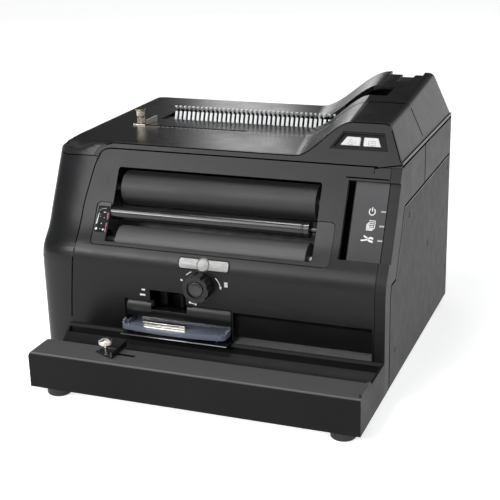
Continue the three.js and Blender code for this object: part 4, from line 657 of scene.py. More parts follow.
def add_mark(build, outline, placer, high=PRINT_HIGH):
    build.ring_loft([[placer(u, v, lift) for u, v in outline] for lift in (PRINT_LOW, high)])


def add_stroke(build, line, width, placer):
    """A stroke is laid as short plates, so that it can turn corners and follow a curve."""
    outline = stroke_outline(line, width)
    count = len(line)
    for i in range(count - 1):
        quad = [outline[i], outline[i + 1], outline[2 * count - 2 - i], outline[2 * count - 1 - i]]
        add_mark(build, quad, placer)


def add_strokes(build, strokes, placer, u=0.0, v=0.0):
    """Each stroke is (width, points), with its points measured from u and v."""
    for width, line in strokes:
        add_stroke(build, [(u + across, v + up) for across, up in line], width, placer)


def chain(width, line):
    """Separate straight strokes from each point of the line to the next."""
    return [(width, pair) for pair in zip(line, line[1:])]


def stroke_piece(name, strokes, placer, material, slot, body="base"):
    made = Build()
    add_strokes(made, strokes, placer)
    made.make(name, material, slot, body, smooth=False)


def mark_piece(name, outlines, placer, material, slot, high=PRINT_HIGH):
    made = Build()
    for outline in outlines:
        add_mark(made, outline, placer, high)
    made.make(name, material, slot, smooth=False)


# Camera, from the photograph's viewing angle

CAMERA_PLACE = point(506.1, -1253.2, 593.9)
CAMERA_AZIMUTH = math.radians(21.36)
CAMERA_ELEVATION = math.radians(19.17)
CAMERA_ROLL = math.radians(-1.51)
CAMERA_LENS = 81.86
CAMERA_SENSOR = 36.0


def make_camera():
    data = bpy.data.cameras.new("camera")
    data.lens = CAMERA_LENS
    data.sensor_width = CAMERA_SENSOR
    made = bpy.data.objects.new("camera", data)
    bpy.context.scene.collection.objects.link(made)
    a, e = CAMERA_AZIMUTH, CAMERA_ELEVATION
    back = Vector((math.sin(a) * math.cos(e), -math.cos(a) * math.cos(e), math.sin(e)))
    level = Vector((math.cos(a), math.sin(a), 0))
    up = back.cross(level)
    right = level * math.cos(CAMERA_ROLL) + up * math.sin(CAMERA_ROLL)
    top = back.cross(right)
    turn = Matrix((right, top, back)).transposed().to_4x4()
    made.matrix_world = Matrix.Translation(CAMERA_PLACE) @ turn
    bpy.context.scene.camera = made


make_camera()


# Light, floor and surroundings, with places and sizes in metres

WORLD_TONE = (0.97, 0.985, 1, 1)
WORLD_LIGHT = 0.38
WHITE = (1, 1, 1, 1)
FLOOR_HALF = 6.0
FLOOR_TONE = (0.86, 0.86, 0.86, 1)
FLOOR_ROUGH = 0.9
FLOOR_GLOW = 0.58

# Darker parts of the studio in gloss and glass: direction, cosine of none and of full, strength inside
DARK_PATCHES = (
    ((-0.55, 0.78, 0.34), (0.84, 0.95), 0.08),
    ((-0.10, 0.90, 0.42), (0.90, 0.965), 0.12),
    ((-0.25, -0.1, 1.0), (0.80, 0.93), 0.10),
    ((-0.92, -0.18, 0.36), (0.78, 0.93), 0.30),
)

# Lamps: name, place, height of the aim over the middle, width, height and power
LAMPS = (
    ("key", (-0.62, -2.05, 1.45), 0.15, 1.5, 1.0, 18.0),
    ("low", (-1.31, -2.01, 1.00), 0.15, 0.9, 0.3, 15.0),
    ("side", (-1.45, -1.70, 1.50), 0.15, 0.5, 0.8, 7.0),
    ("shoulder", (-0.55, -0.85, 2.45), 0.15, 0.6, 0.6, 16.0),
    ("right", (1.9, -0.6, 1.3), 0.15, 1.0, 1.0, 5.0),
    ("overhead", (0.0, -0.3, 2.4), 0.15, 1.2, 1.2, 6.0),
    ("strip", (-1.06, 2.78, 0.95), 0.27, 0.34, 1.3, 3.0),
)


def patch(tree, coordinate, direction, limits, inside):
    towards = [(1, Vector(direction).normalized())]
    facing = new_node(tree, "VectorMath", towards, operation="DOT_PRODUCT")
    tree.links.new(coordinate.outputs["Generated"], facing.inputs[0])
    return map_range(tree, facing.outputs["Value"], limits, (1.0, inside), interpolation_type="SMOOTHSTEP")


def mix_for_seen(tree, gathered, seen, output):
    """The seen shader for the camera, gloss and glass, the gathered one for all other rays."""
    mix = new_node(tree, "MixShader")
    tree.links.new(seen_ray(tree), mix.inputs["Fac"])
    tree.links.new(gathered, mix.inputs[1])
    tree.links.new(seen, mix.inputs[2])
    tree.links.new(mix.outputs["Shader"], output.inputs["Surface"])


def make_world():
    """Plain light for the surfaces; the camera, gloss and glass see a white studio with darker parts."""
    world = bpy.data.worlds.new("studio")
    bpy.context.scene.world = world
    world.use_nodes = True
    tree = world.node_tree
    tree.nodes.clear()
    coordinate = new_node(tree, "TexCoord")
    shade = patch(tree, coordinate, *DARK_PATCHES[0])
    for values in DARK_PATCHES[1:]:
        shade = joined(tree, "MULTIPLY", shade, patch(tree, coordinate, *values))
    seen = new_node(tree, "Background", [("Color", WHITE)])
    tree.links.new(shade, seen.inputs["Strength"])
    light = new_node(tree, "Background", [("Color", WORLD_TONE), ("Strength", WORLD_LIGHT)])
    output = new_node(tree, "OutputWorld")
    mix_for_seen(tree, light.outputs["Background"], seen.outputs["Background"], output)


def floor_material():
    """White with shadows, and a glow that only the camera, gloss and glass see."""
    material = bpy.data.materials.new("floor")
    material.use_nodes = True
    tree = material.node_tree
    principled = tree.nodes["Principled BSDF"]
    set_inputs(principled, [("Base Color", FLOOR_TONE), ("Roughness", FLOOR_ROUGH)])
    plain = principled.outputs["BSDF"]
    glow = new_node(tree, "Emission", [("Color", WHITE), ("Strength", FLOOR_GLOW)])
    both = new_node(tree, "AddShader")
    tree.links.new(plain, both.inputs[0])
    tree.links.new(glow.outputs["Emission"], both.inputs[1])
    mix_for_seen(tree, plain, both.outputs["Shader"], tree.nodes["Material Output"])
    return material


def make_floor():
    mesh = bpy.data.meshes.new("floor")
    corners = rectangle(-FLOOR_HALF, FLOOR_HALF, -FLOOR_HALF, FLOOR_HALF)
    mesh.from_pydata([(x, y, 0) for x, y in corners], [], [(0, 1, 2, 3)])
    mesh.materials.append(floor_material())
    made = bpy.data.objects.new("floor", mesh)
    bpy.context.scene.collection.objects.link(made)


def area_light(name, place, aim_height, width, height, power):
    data = bpy.data.lights.new(name, "AREA")
    data.shape = "RECTANGLE"
    data.size = width
    data.size_y = height
    data.energy = power
    made = bpy.data.objects.new(name, data)
    bpy.context.scene.collection.objects.link(made)
    aim = Vector((0, 0, aim_height)) - Vector(place)
    made.rotation_mode = "QUATERNION"
    made.rotation_quaternion = aim.to_track_quat("-Z", "Y")
    made.location = place


make_world()
make_floor()
for lamp in LAMPS:
    area_light(*lamp)
bpy.context.scene.view_settings.view_transform = "Standard"


# Control panel: pictograms, lamps and painted shade on the film's left side and foot

POWER_RING = arc(centre=(192.0, 215.0), radius=3.4, start=122, end=418, steps=20)
POWER_BAR = ((192.0, 219.59), (192.0, 215.34))
POWER_STROKE = 1.02
SHEETS_PLACE = (192.4, 201.0)
SHEET_LEFT, SHEET_RIGHT = -2.3, 4.5
SHEET_FOOT, SHEET_HEAD = -2.5, 4.9
SHEET_NOTCH = 1.2
SHEET_SHIFTS = (0.0, 1.1, 2.2)
SHEET_STROKE = 0.8
TEXT_LEFT, TEXT_RIGHT = -1.6, 3.2
TEXT_HEIGHTS = (2.9, 1.0, -0.9)
PLIERS_PLACE = (190.5, 187.0)
PLIERS_STROKES = (
    (1.5, ((-7.4, -1.6), (-3.0, -1.0), (0.4, -0.1))),
    (1.5, ((-4.6, 3.2), (-1.2, 1.8), (0.8, 0.2))),
    (2.0, ((0.2, 0.4), (3.4, 1.7), (6.6, 1.0))),
    (2.0, ((0.2, -0.2), (3.2, -1.6), (6.4, -2.2))),
)
PLIERS_PIVOT = (190.9, 187.1, 1.7)
LAMP_RISE = 1.6
LAMP_PROUD = 0.2
PANEL_LAMPS = [rectangle(left=202.2, right=207.8, foot=z, head=z + LAMP_RISE) for z in (214.9, 200.2, 185.6)]
# Painted shade: dark strips on the film where the recess's left wall and foot shade it.
PANEL_SHADE = (
    rectangle(left=158.6, right=168.6, foot=156.8, head=246.0),
    rectangle(left=168.6, right=207.8, foot=156.8, head=159.6),
)
PANEL_SHADE_PROUD = 0.12


def on_panel(x, z, lift):
    return on_slope(x, z, lift - PANEL_DEPTH)


def sheets_strokes():
    """Three sheets, one behind the other, with three lines of text on the front one."""
    corner = (SHEET_RIGHT, SHEET_HEAD)
    lines = [((SHEET_LEFT, SHEET_HEAD), corner), (corner, (SHEET_RIGHT, SHEET_FOOT))]
    for shift in SHEET_SHIFTS:
        left = SHEET_LEFT - shift
        foot = SHEET_FOOT - shift
        lines.append(((left, SHEET_HEAD - SHEET_NOTCH - shift), (left, foot)))
        lines.append(((left, foot), (SHEET_RIGHT - shift, foot)))
    lines += [((TEXT_LEFT, z), (TEXT_RIGHT, z)) for z in TEXT_HEIGHTS]
    return [(SHEET_STROKE, line) for line in lines]


def panel_pictograms():
    white = Build()
    add_stroke(white, POWER_RING, POWER_STROKE, on_panel)
    add_stroke(white, POWER_BAR, POWER_STROKE, on_panel)
    add_strokes(white, sheets_strokes(), on_panel, *SHEETS_PLACE)
    add_strokes(white, PLIERS_STROKES, on_panel, *PLIERS_PLACE)
    add_mark(white, circle_points(*PLIERS_PIVOT, DISC_SIDES), on_panel)
    white.make("panel_pictograms", WHITE_PRINT, "pale_key", smooth=False)


panel_pictograms()
mark_piece("panel_lamps", PANEL_LAMPS, on_panel, LAMP, "clear", LAMP_PROUD)


# Prints round the knob and beside the crimper

SLOW_SWEEP = arc(centre=(-3.0, 117.5), radius=20.6, start=137, end=115, steps=8)
FAST_SWEEP = arc(centre=(4.0, 116.0), radius=21.5, start=47, end=14, steps=12)
SWEEP_WIDTH = 0.9
ARROW_HEAD = ((-1.7, 0.4), (0.4, -3.6), (1.7, 0.6))
SLOW_BAR = (1.9, ((-25.6, 125.4), (-22.8, 124.2)))
FAST_BARS = [(1.5, ((29.6, z), (33.8, z))) for z in (127.0, 124.9, 122.8)]
DUMBBELL = (1.2, ((-14.0, 97.2), (-8.4, 96.3)))
DUMBBELL_ENDS = ((-14.8, 97.6, 1.5), (-7.6, 96.2, 1.5))
CRIMPER_MARKS = (
    (2.0, ((-77.4, 107.0), (-72.8, 107.0))),
    (2.3, ((-79.8, 100.6), (-78.4, 100.4), (-72.9, 100.4))),
)


def knob_prints():
    white = Build()
    add_stroke(white, SLOW_SWEEP, SWEEP_WIDTH, on_front)
    add_stroke(white, FAST_SWEEP, SWEEP_WIDTH, on_front)
    tip_x, tip_z = FAST_SWEEP[-1]
    add_mark(white, [(tip_x + x, tip_z + z) for x, z in ARROW_HEAD], on_front)
    add_strokes(white, [SLOW_BAR, *FAST_BARS, DUMBBELL, *CRIMPER_MARKS], on_front)
    for end in DUMBBELL_ENDS:
        add_mark(white, circle_points(*end, DOT_SIDES), on_front)
    white.make("knob_prints", WHITE_PRINT, "pale_key", smooth=False)


knob_prints()


# Bare plate over the knob, with its dark surround and a plain boss

PLATE_X, PLATE_Z = 3.4, 145.2
SLAB_STEPS = 6
PLATE_EDGE = 0.35
BOSS_X = 2.8
BOSS_PROFILE = (
    (8.6, -0.2), (8.6, 0.7), (8.1, 0.9), (7.9, 1.5), (7.2, 1.9), (6.6, 1.6), (3.5, 1.9), (0.6, 2.0),
)
BOSS_EDGE = 0.15


def clipped_slab(half_width, half_height, clip, low, high):
    """A plate with clipped corners that follows the front face."""
    rings = []
    for i in range(SLAB_STEPS + 1):
        height = -half_height + 2 * half_height * i / SLAB_STEPS
        reach = half_width - max(0.0, clip - (half_height - abs(height)))
        corners = ((-reach, low), (reach, low), (reach, high), (-reach, high))
        rings.append([on_front(PLATE_X + across, PLATE_Z + height, lift) for across, lift in corners])
    slab = Build()
    slab.ring_loft(rings)
    return slab


def bare_plate():
    surround = clipped_slab(half_width=32.4, half_height=6.7, clip=2.6, low=-0.2, high=0.6)
    surround.make("plate_surround", BLACK, "trim", smooth=False)
    face = clipped_slab(half_width=31.2, half_height=5.5, clip=2.0, low=0.3, high=1.1)
    round_edges(face.make("bare_plate", PLATE_METAL, "nickel"), PLATE_EDGE)
    boss = Build()
    boss.turned(BOSS_PROFILE, Vector((BOSS_X, front_y(PLATE_Z), PLATE_Z)), front_normal(PLATE_Z), ROUND_SIDES)
    round_edges(boss.make("plate_boss", PLATE_METAL, "nickel"), BOSS_EDGE)


bare_plate()


# Scale and pointer line of the gauge

GAUGE_SINK = 0.17
GAUGE_WEDGE = (
    (-145.0, 185.0), (-146.2, 178.6), (-146.2, 175.4), (-145.0, 176.6), (-144.0, 188.2), (-144.2, 188.6),
)
GAUGE_DISC = (-144.9, 171.2, 1.7)
GAUGE_DOTS = ((-139.6, 171.4, 0.8), (-135.6, 170.4, 1.1), (-139.2, 176.6, 0.6), (-136.6, 183.0, 0.4))
GAUGE_DASH = (0.7, ((-138.4, 189.0), (-135.2, 188.9)))
GAUGE_HOOK = (0.5, ((-144.4, 190.0), (-141.0, 192.6), (-135.0, 193.4)))
GAUGE_TICKS = [(0.45, ((-142.6, z), (-141.2, z))) for z in (179.0, 181.4, 183.8, 186.2)]
POINTER_RISE = 2.6
POINTER_ZS = spaced(first=168.0, pitch=POINTER_RISE, count=8)
POINTER_LINE = [rectangle(left=-132.9, right=-131.6, foot=z, head=z + POINTER_RISE) for z in POINTER_ZS]


def on_gauge(x, z, lift):
    return on_front(x, z, lift - GAUGE_SINK)


def gauge_scale():
    white = Build()
    add_mark(white, GAUGE_WEDGE, on_gauge)
    add_mark(white, circle_points(*GAUGE_DISC, DISC_SIDES), on_gauge)
    for dot in GAUGE_DOTS:
        add_mark(white, circle_points(*dot, DOT_SIDES), on_gauge)
    add_strokes(white, [GAUGE_DASH], on_gauge)
    white.make("gauge_scale", WHITE_PRINT, "pale_key", smooth=False)


gauge_scale()
stroke_piece("gauge_ticks", [GAUGE_HOOK, *GAUGE_TICKS], on_gauge, GREY_PRINT, "pale_key")
mark_piece("gauge_pointer_line", POINTER_LINE, on_gauge, RED_PRINT, "clear")


# Signs on the two push buttons

KEY_SINK = 0.2
LEFT_KEY_SIGN = (
    (0.7, ((154.0, 281.0), (156.5, 285.4), (159.5, 285.4))),
    (0.7, ((155.6, 281.0), (160.4, 281.0))),
    (0.6, ((157.0, 283.2), (160.0, 283.2))),
    (0.5, ((162.6, 281.2), (162.6, 285.4))),
)
RIGHT_KEY_SIGN = (
    (0.7, ((178.4, 280.6), (178.4, 285.6))),
    (0.6, ((180.4, 285.2), (186.4, 285.2), (186.4, 281.0), (180.4, 281.0))),
    (0.6, ((181.0, 283.1), (184.6, 283.1))),
)


def on_key(x, z, lift):
    return on_slope(x, z, lift - KEY_SINK)


stroke_piece("left_key_sign", LEFT_KEY_SIGN, on_key, GREY_PRINT, "trim", "left_key")
stroke_piece("right_key_sign", RIGHT_KEY_SIGN, on_key, GREY_PRINT, "trim", "right_key")


# Scale of dashes along the top, and small marks on the tower: left, right, front and back from a place

DASH_PITCH = 6.24
DASH = (-1.9, 1.9, 42.0, 43.3)
DASH_XS = spaced(first=-122.2, pitch=DASH_PITCH, count=31)
RISING_DASH = (-1.7, 1.5, 0.0, 1.4)
LOWER_DASH = (-1.2, 1.0, -4.6, -3.6)
RISING_XS = spaced(first=71.24, pitch=DASH_PITCH, count=6)
RISING_YS = spaced(first=43.0, pitch=1.3, count=6)
TOWER_DASH = (-1.3, 1.3, 50.4, 51.8)
TOWER_XS = spaced(first=133.0, pitch=5.6, count=3)


def add_dash(build, dash, x, y=0.0):
    left, right, front, back = dash
    add_mark(build, rectangle(x + left, x + right, y + front, y + back), on_top)


def top_scale():
    pale = Build()
    for x in DASH_XS:
        add_dash(pale, DASH, x)
    for x, y in zip(RISING_XS, RISING_YS):
        add_dash(pale, RISING_DASH, x, y)
        add_dash(pale, LOWER_DASH, x, y)
    for x in TOWER_XS:
        add_dash(pale, TOWER_DASH, x)
    pale.make("top_scale", PALE_PRINT, "pale_key", smooth=False)


top_scale()


# Rings at the right end of the idler bar

BAR_CENTRE = (-77.5, 187.0)
RING_PLACES = (113.4, 117.2)
RING_PROFILE = ((9.1, 0.0), (9.65, 0.25), (9.65, 1.05), (9.1, 1.3))


def bar_rings():
    rings = Build()
    for x in RING_PLACES:
        rings.turned(RING_PROFILE, Vector((x, *BAR_CENTRE)), X_AXIS, ROUND_SIDES)
    rings.make("bar_rings", BAR, "bar", "bar")


bar_rings()


# Knob cap with its dish

KNOB_PLACE = Vector((0, 0, 121.0))
CAP_PROFILE = (
    (8.6, 133.6), (8.9, 134.0), (8.9, 135.4), (8.5, 135.9), (7.9, 136.0), (7.2, 135.8), (5.5, 135.35),
    (3.0, 135.15), (0.5, 135.1),
)


def knob_dish():
    cap = Build()
    cap.turned(CAP_PROFILE, KNOB_PLACE, -Y_AXIS, ROUND_SIDES)
    made = cap.make("knob_cap_dish", CAP, "trim", "knob")
    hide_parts("knob_cap")


knob_dish()


# Knurled bands of the two thumb screws

KNURL_DEPTH = 0.3
KNURL_INSET = 0.5
KNURL_CHAMFER = 0.4
SIDES_PER_RIDGE = 4


def knurl(name, place, radius, bands, ridges, body):
    made = Build()
    inner = radius - KNURL_INSET

    def ridge(turn):
        return KNURL_DEPTH * abs(math.cos(ridges * turn / 2))

    for low, high in bands:
        profile = [(inner, low), (radius, low + KNURL_CHAMFER), (radius, high - KNURL_CHAMFER), (inner, high)]
        made.turned(profile, Vector(place), Z_AXIS, SIDES_PER_RIDGE * ridges, ridge)
    made.make(name, NICKEL, "nickel", body, smooth=False)


LEDGE_BANDS = [(66.6, 70.9)]
TOP_BANDS = [(269.0, 275.4), (277.8, 284.8)]
knurl("ledge_screw_knurl", (-89.5, -194.5, 0), radius=7.95, bands=LEDGE_BANDS, ridges=40, body="ledge_screw")
knurl("top_screw_knurl", (-149.5, 48.0, 0), radius=5.15, bands=TOP_BANDS, ridges=28, body="top_screw")


# Screws on the right side and the back

SCREW_SIDES = 20
# Each ring of a head and its socket: share of the radius, inset and height
SCREW_RINGS = (
    (1, 0, -0.6), (1, 0, 0), (1, 0.25, 0.15), (0.62, 0, 0.15), (0.5, 0, -0.5), (0.1, 0, -0.5),
)
SIDE_SCREWS = ((-12.4, 194.0), (204.5, 195.3), (91.4, 125.6), (206.5, 54.6), (-72.8, 48.6))
BACK_SCREW_XS = (-188.0, 0.0, 206.0)
BACK_SCREW_ZS = (22.0, 240.0)


def screw_heads(name, places, normal, radius):
    profile = [(share * radius - inset, height) for share, inset, height in SCREW_RINGS]
    heads = Build()
    for place in places:
        heads.turned(profile, Vector(place), normal, SCREW_SIDES)
    heads.make(name, SCREW, "dark_steel")


screw_heads("side_screws", [(RIGHT_X, y, z) for y, z in SIDE_SCREWS], X_AXIS, radius=3.4)
back_places = [(x, BACK_Y, z) for x in BACK_SCREW_XS for z in BACK_SCREW_ZS]
screw_heads("back_screws", back_places, Y_AXIS, radius=3.2)


# Chute cover: a roll that stands proud at its foot, with the throat left open

CHUTE_LEFT, CHUTE_RIGHT = -99.4, 36.1
CHUTE_PROFILE = (
    (-100.0, 92.6), (-114.2, 92.6), (-116.4, 90.0), (-118.0, 86.6), (-119.0, 82.6), (-119.4, 78.6),
    (-119.0, 74.6), (-117.4, 71.4), (-114.0, 69.6), (-104.0, 69.3), (-100.0, 69.3),
)
CHUTE_EDGE = 0.3
THROAT_LEFT, THROAT_RIGHT = -66.8, -20.4
THROAT_FOOT = 82.0
THROAT_SILL = ((-104.0, THROAT_FOOT), (-119.0, THROAT_FOOT))
CHEEK_HALF = 0.5
CHEEK_FRONT_Y, CHEEK_BACK_Y = -118.5, -96.0
CHEEK_ZS = (55.2, 92.0)


def chute_roll():
    lower = [*THROAT_SILL, *((y, z) for y, z in CHUTE_PROFILE if z < THROAT_FOOT)]
    strips = (
        (CHUTE_LEFT, THROAT_LEFT, CHUTE_PROFILE),
        (THROAT_RIGHT, CHUTE_RIGHT, CHUTE_PROFILE),
        (THROAT_LEFT, THROAT_RIGHT, lower),
    )
    roll = Build()
    for left, right, profile in strips:
        roll.ring_loft([[point(x, y, z) for y, z in profile] for x in (left, right)])
    made = roll.make("chute_roll", HOUSING, "housing")
    round_edges(made, CHUTE_EDGE)
    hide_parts("chute_cover")


def chute_cheeks():
    sides = Build()
    for x in (CHUTE_LEFT, CHUTE_RIGHT):
        outline = rectangle(x - CHEEK_HALF, x + CHEEK_HALF, CHEEK_FRONT_Y, CHEEK_BACK_Y)
        sides.ring_loft([[point(u, v, z) for u, v in outline] for z in CHEEK_ZS])
    sides.make("chute_cheeks", BLACK, "housing")


chute_roll()
chute_cheeks()


# The left front corner, where the real covers turn in one soft curve

CORNER_ALONG_FRONT = 58.0
CORNER_EDGE = 3.0
CORNER_REACH_BACK = 42.0
CORNER_ALONG_SIDE = 21.0
CORNER_RISE = 18.0
CORNER_FROM_X = -196.0
CORNER_TO_X = -158.0
CORNER_FADE = 100.0
CORNER_SKIN = 1.5
CORNER_ROUNDS = 8
CORNER_CLOSE = 1e-4
CORNER_STEP = 0.05
ABOVE_TOP = 1.0
SOFT_WELD = 0.001
SOFT_EDGE = 0.4
SOFT_SHARP_ANGLE = 35.0
CUT_REACH = 1e-7
CUTS_FROM_LEFT = (1, 2, 3.5, 5, 7, 9, 12, 15, 18, 22, 26, 30, 35, 40, 46, 52, 58)
CUTS_FROM_TOP = (2, 4, 6.5, 9, 12, 15, 19, 24, 30)
CUTS_BEHIND_FRONT = spaced(first=1.0, pitch=3.2, count=26)
CUTS_UP = spaced(first=20.0, pitch=10.0, count=22)


def smooth_step(value, low, high):
    share = min(1.0, max(0.0, (value - low) / (high - low)))
    return share * share * (3 - 2 * share)


def depth_from_front(spot):
    return (spot.y - front_y(spot.z)) * -front_normal(spot.z).y


def round_between(first, first_length, second, second_length):
    """One on the round between two faces, by the depths under them and the round's lengths along them."""
    return math.hypot(max(1 - first / first_length, 0.0), max(1 - second / second_length, 0.0))


def corner_value(spot):
    """Zero on the soft corner, more outside it and less inside it."""
    from_left = spot.x - LEFT_X
    from_top = TOP_Z - spot.z
    from_front = depth_from_front(spot)
    beside = smooth_step(spot.x, CORNER_FROM_X, CORNER_TO_X)
    reach_back = CORNER_REACH_BACK + (CORNER_EDGE - CORNER_REACH_BACK) * beside
    rise = CORNER_RISE + (CORNER_EDGE - CORNER_RISE) * beside
    upright = round_between(from_left, CORNER_ALONG_FRONT, from_front, CORNER_ALONG_SIDE)
    shoulder = round_between(from_front, reach_back, from_top, rise)
    edge = round_between(from_left, CORNER_EDGE, from_top, CORNER_EDGE)
    return max(upright, shoulder, edge) - 1


def corner_slope(spot):
    here = corner_value(spot)
    steps = (X_AXIS * CORNER_STEP, Y_AXIS * CORNER_STEP, Z_AXIS * CORNER_STEP)
    return Vector([(corner_value(spot + step) - here) / CORNER_STEP for step in steps])


def cad_depth(spot):
    """Depth under the CAD's own left, front and top faces."""
    from_left = spot.x - LEFT_X
    from_front = depth_from_front(spot)
    if from_left < CAD_ROUND and from_front < CAD_ROUND:
        side = CAD_ROUND - math.hypot(CAD_ROUND - from_left, CAD_ROUND - from_front)
    else:
        side = min(from_left, from_front)
    return min(side, TOP_Z - spot.z)


def softened(place):
    """A place on the CAD's corner brought onto the soft one; the inner skin keeps its depth."""
    spot = place / MM
    from_front = spot.y - front_y(min(spot.z, TOP_Z))
    weight = smooth_step(CORNER_FADE - from_front, 0.0, CORNER_FADE / 2)
    if weight == 0.0 or spot.x > CORNER_TO_X or spot.z > TOP_Z + ABOVE_TOP:
        return place
    depth = cad_depth(spot)
    outer = spot.copy()
    if depth > CORNER_SKIN:
        slope = corner_slope(spot)
        if slope.length > 0:
            outer = spot + slope.normalized() * depth
    moved = outer.copy()
    for _ in range(CORNER_ROUNDS):
        value = corner_value(moved)
        if value <= CORNER_CLOSE:
            break
        slope = corner_slope(moved)
        moved -= slope * (value / slope.length_squared)
    return (spot + (moved - outer) * weight) * MM


def cut_all(grid, place, normal):
    geometry = grid.verts[:] + grid.edges[:] + grid.faces[:]
    bmesh.ops.bisect_plane(grid, geom=geometry, dist=CUT_REACH, plane_co=place, plane_no=normal)


def soft_copy(name, material):
    """A cover cut finely near the corner and drawn onto the soft round."""
    grid = bmesh.new()
    grid.from_mesh(frame["nodes"][name].data)
    bmesh.ops.remove_doubles(grid, verts=grid.verts, dist=SOFT_WELD * MM)
    for inset in CUTS_FROM_LEFT:
        cut_all(grid, point(LEFT_X + inset, 0, 0), X_AXIS)
    for drop in CUTS_FROM_TOP:
        cut_all(grid, point(0, 0, TOP_Z - drop), Z_AXIS)
    for behind in CUTS_BEHIND_FRONT:
        cut_all(grid, point(0, front_y(TOP_Z) + behind, 0), Y_AXIS)
    for z in CUTS_UP:
        cut_all(grid, point(0, 0, z), Z_AXIS)
    for vertex in grid.verts:
        vertex.co = softened(vertex.co)
    mesh = bpy.data.meshes.new(name + "_soft")
    grid.to_mesh(mesh)
    grid.free()
    mesh.materials.clear()
    mesh.materials.append(material)
    made = placed_piece(name + "_soft", mesh, "base")
    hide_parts(name)
    round_edges(made, SOFT_EDGE, SOFT_SHARP_ANGLE)


soft_copy("left_cover", SIDE_COVER)
soft_copy("top_front_cover", TOP_PLASTIC)


# Where the fascia and the strip above it end, felt from the front

EDGE_STRIDES = 24
EDGE_HALVINGS = 14
HIT_BEHIND = 1.0


def meets(surface, x, z):
    where, _, _, _ = surface.ray_cast(point(x, FRONT_Y, z), Y_AXIS)
    return where is not None and where.y < (front_y(z) + HIT_BEHIND) * MM


def edge_between(outside, inside, hit):
    """The first place where a line from outside meets the piece."""
    stride = (inside - outside) / EDGE_STRIDES
    while not hit(outside + stride) and abs(outside - inside) > abs(stride):
        outside += stride
    inside = outside + stride
    for _ in range(EDGE_HALVINGS):
        middle = (outside + inside) / 2
        if hit(middle):
            inside = middle
        else:
            outside = middle
    return inside


# Dark seams between the covers: lines along the front are (x, z), the side (y, z) and the top (x, y)

SEAM_WIDTH = 2.6
SIDE_PANEL_EDGE = (
    (-98.0, 12.0), (-98.0, 120.0), (-94.0, 136.0), (-73.0, 136.0), (-36.0, 211.5), (217.0, 211.5),
)
BAND_SPLIT = ((65.5, 211.5), (65.5, 260.0))
TOWER_FOOT = ((-50.0, 261.0), (217.0, 261.0))
TOP_SEAM_Y = 53.0
TOP_SEAM_RISE = 12.5
TOP_SEAM_BENDS_TO_X = 150.0
TOP_SEAM_XS = spaced(first=100.0, pitch=3.0, count=40)


def cover_seams():
    dark = Build()
    for line in (SIDE_PANEL_EDGE, BAND_SPLIT, TOWER_FOOT):
        add_strokes(dark, chain(SEAM_WIDTH, line), on_side)
    bend = [smooth_step(x, 0.0, TOP_SEAM_BENDS_TO_X) for x in TOP_SEAM_XS]
    across = [(x, TOP_SEAM_Y + TOP_SEAM_RISE * share) for x, share in zip(TOP_SEAM_XS, bend)]
    add_stroke(dark, across, SEAM_WIDTH, on_top)
    dark.make("cover_seams", SEAM, "trim", smooth=False)


FASCIA_SEAM_WIDTH = 1.5
FASCIA_SEAM_OFF = 0.4
FASCIA_ZS = spaced(first=60.0, pitch=9.6, count=19)
FASCIA_INSIDE_X, FASCIA_INSIDE_Z = -152.0, 225.0
FASCIA_CORNER = 1.5
FASCIA_STRIDES = spaced(first=0.0, pitch=5.6, count=64)


def left_cover_seam():
    """Up the fascia's left edge and on along its upper edge."""
    line = []
    for z in FASCIA_ZS:
        x = edge_between(LEFT_X, FASCIA_INSIDE_X, lambda spot: meets(FASCIA_SURFACE, spot, z))
        line.append((x - FASCIA_SEAM_OFF, z))
    turn_x = line[-1][0] + FASCIA_CORNER
    for stride in FASCIA_STRIDES:
        x = turn_x + stride
        z = edge_between(TOP_Z, FASCIA_INSIDE_Z, lambda spot: meets(FASCIA_SURFACE, x, spot))
        line.append((x, z + FASCIA_SEAM_OFF))
    stroke_piece("left_cover_seam", [(FASCIA_SEAM_WIDTH, line)], on_front, SEAM, "trim")


CREST_SEAM_WIDTH = 1.1
CREST_SEAM_OFF = 0.7
CREST_XS = spaced(first=-150.0, pitch=4.8, count=74)
CREST_OUTSIDE_Z, CREST_INSIDE_Z = 312.0, 254.0
FLANK_SEAM_WIDTH = 1.3
FLANK_ZS = spaced(first=253.0, pitch=5.0, count=10)
FLANK_OUTSIDE_X, FLANK_INSIDE_X = 222.0, 190.0
FRAME_SEAM = (1.4, ((157.8, 247.2), (207.6, 247.2)))


def crest_seam():
    """Along the upper edge of the strip that grows into the tower's front, and up its right edge."""
    upper = []
    for x in CREST_XS:
        z = edge_between(CREST_OUTSIDE_Z, CREST_INSIDE_Z, lambda spot: meets(CREST_SURFACE, x, spot))
        upper.append((x, z - CREST_SEAM_OFF))
    flank = []
    for z in FLANK_ZS:
        x = edge_between(FLANK_OUTSIDE_X, FLANK_INSIDE_X, lambda spot: meets(CREST_SURFACE, spot, z))
        flank.append((x - CREST_SEAM_OFF, z))
    strokes = [(CREST_SEAM_WIDTH, upper), (FLANK_SEAM_WIDTH, flank), FRAME_SEAM]
    stroke_piece("crest_seam", strokes, on_front, SEAM, "trim")


# Painted highlight: a pale line where the side sheet's top edge catches the light.
SHEET_EDGE_HIGHLIGHT = ((-71.6, 135.0), (-34.8, 209.9), (216.0, 209.9))
SHEET_HIGHLIGHT_WIDTH = 0.8


def side_panel_edge_highlight():
    """A painted highlight along the side sheet's top edge, just inside its seam."""
    stroke_piece("side_panel_edge_highlight", chain(SHEET_HIGHLIGHT_WIDTH, SHEET_EDGE_HIGHLIGHT), on_side, PALE_PRINT, "steel")


WRAP_Z = 250.0
WRAP_HALF = 0.5
WRAP_BACKS = spaced(first=120.0, pitch=-8.0, count=12)
WRAP_ACROSS = spaced(first=4.0, pitch=4.0, count=10)
WRAP_STEPS = 14
WRAP_SINK = 0.15
WRAP_PROUD = 0.08


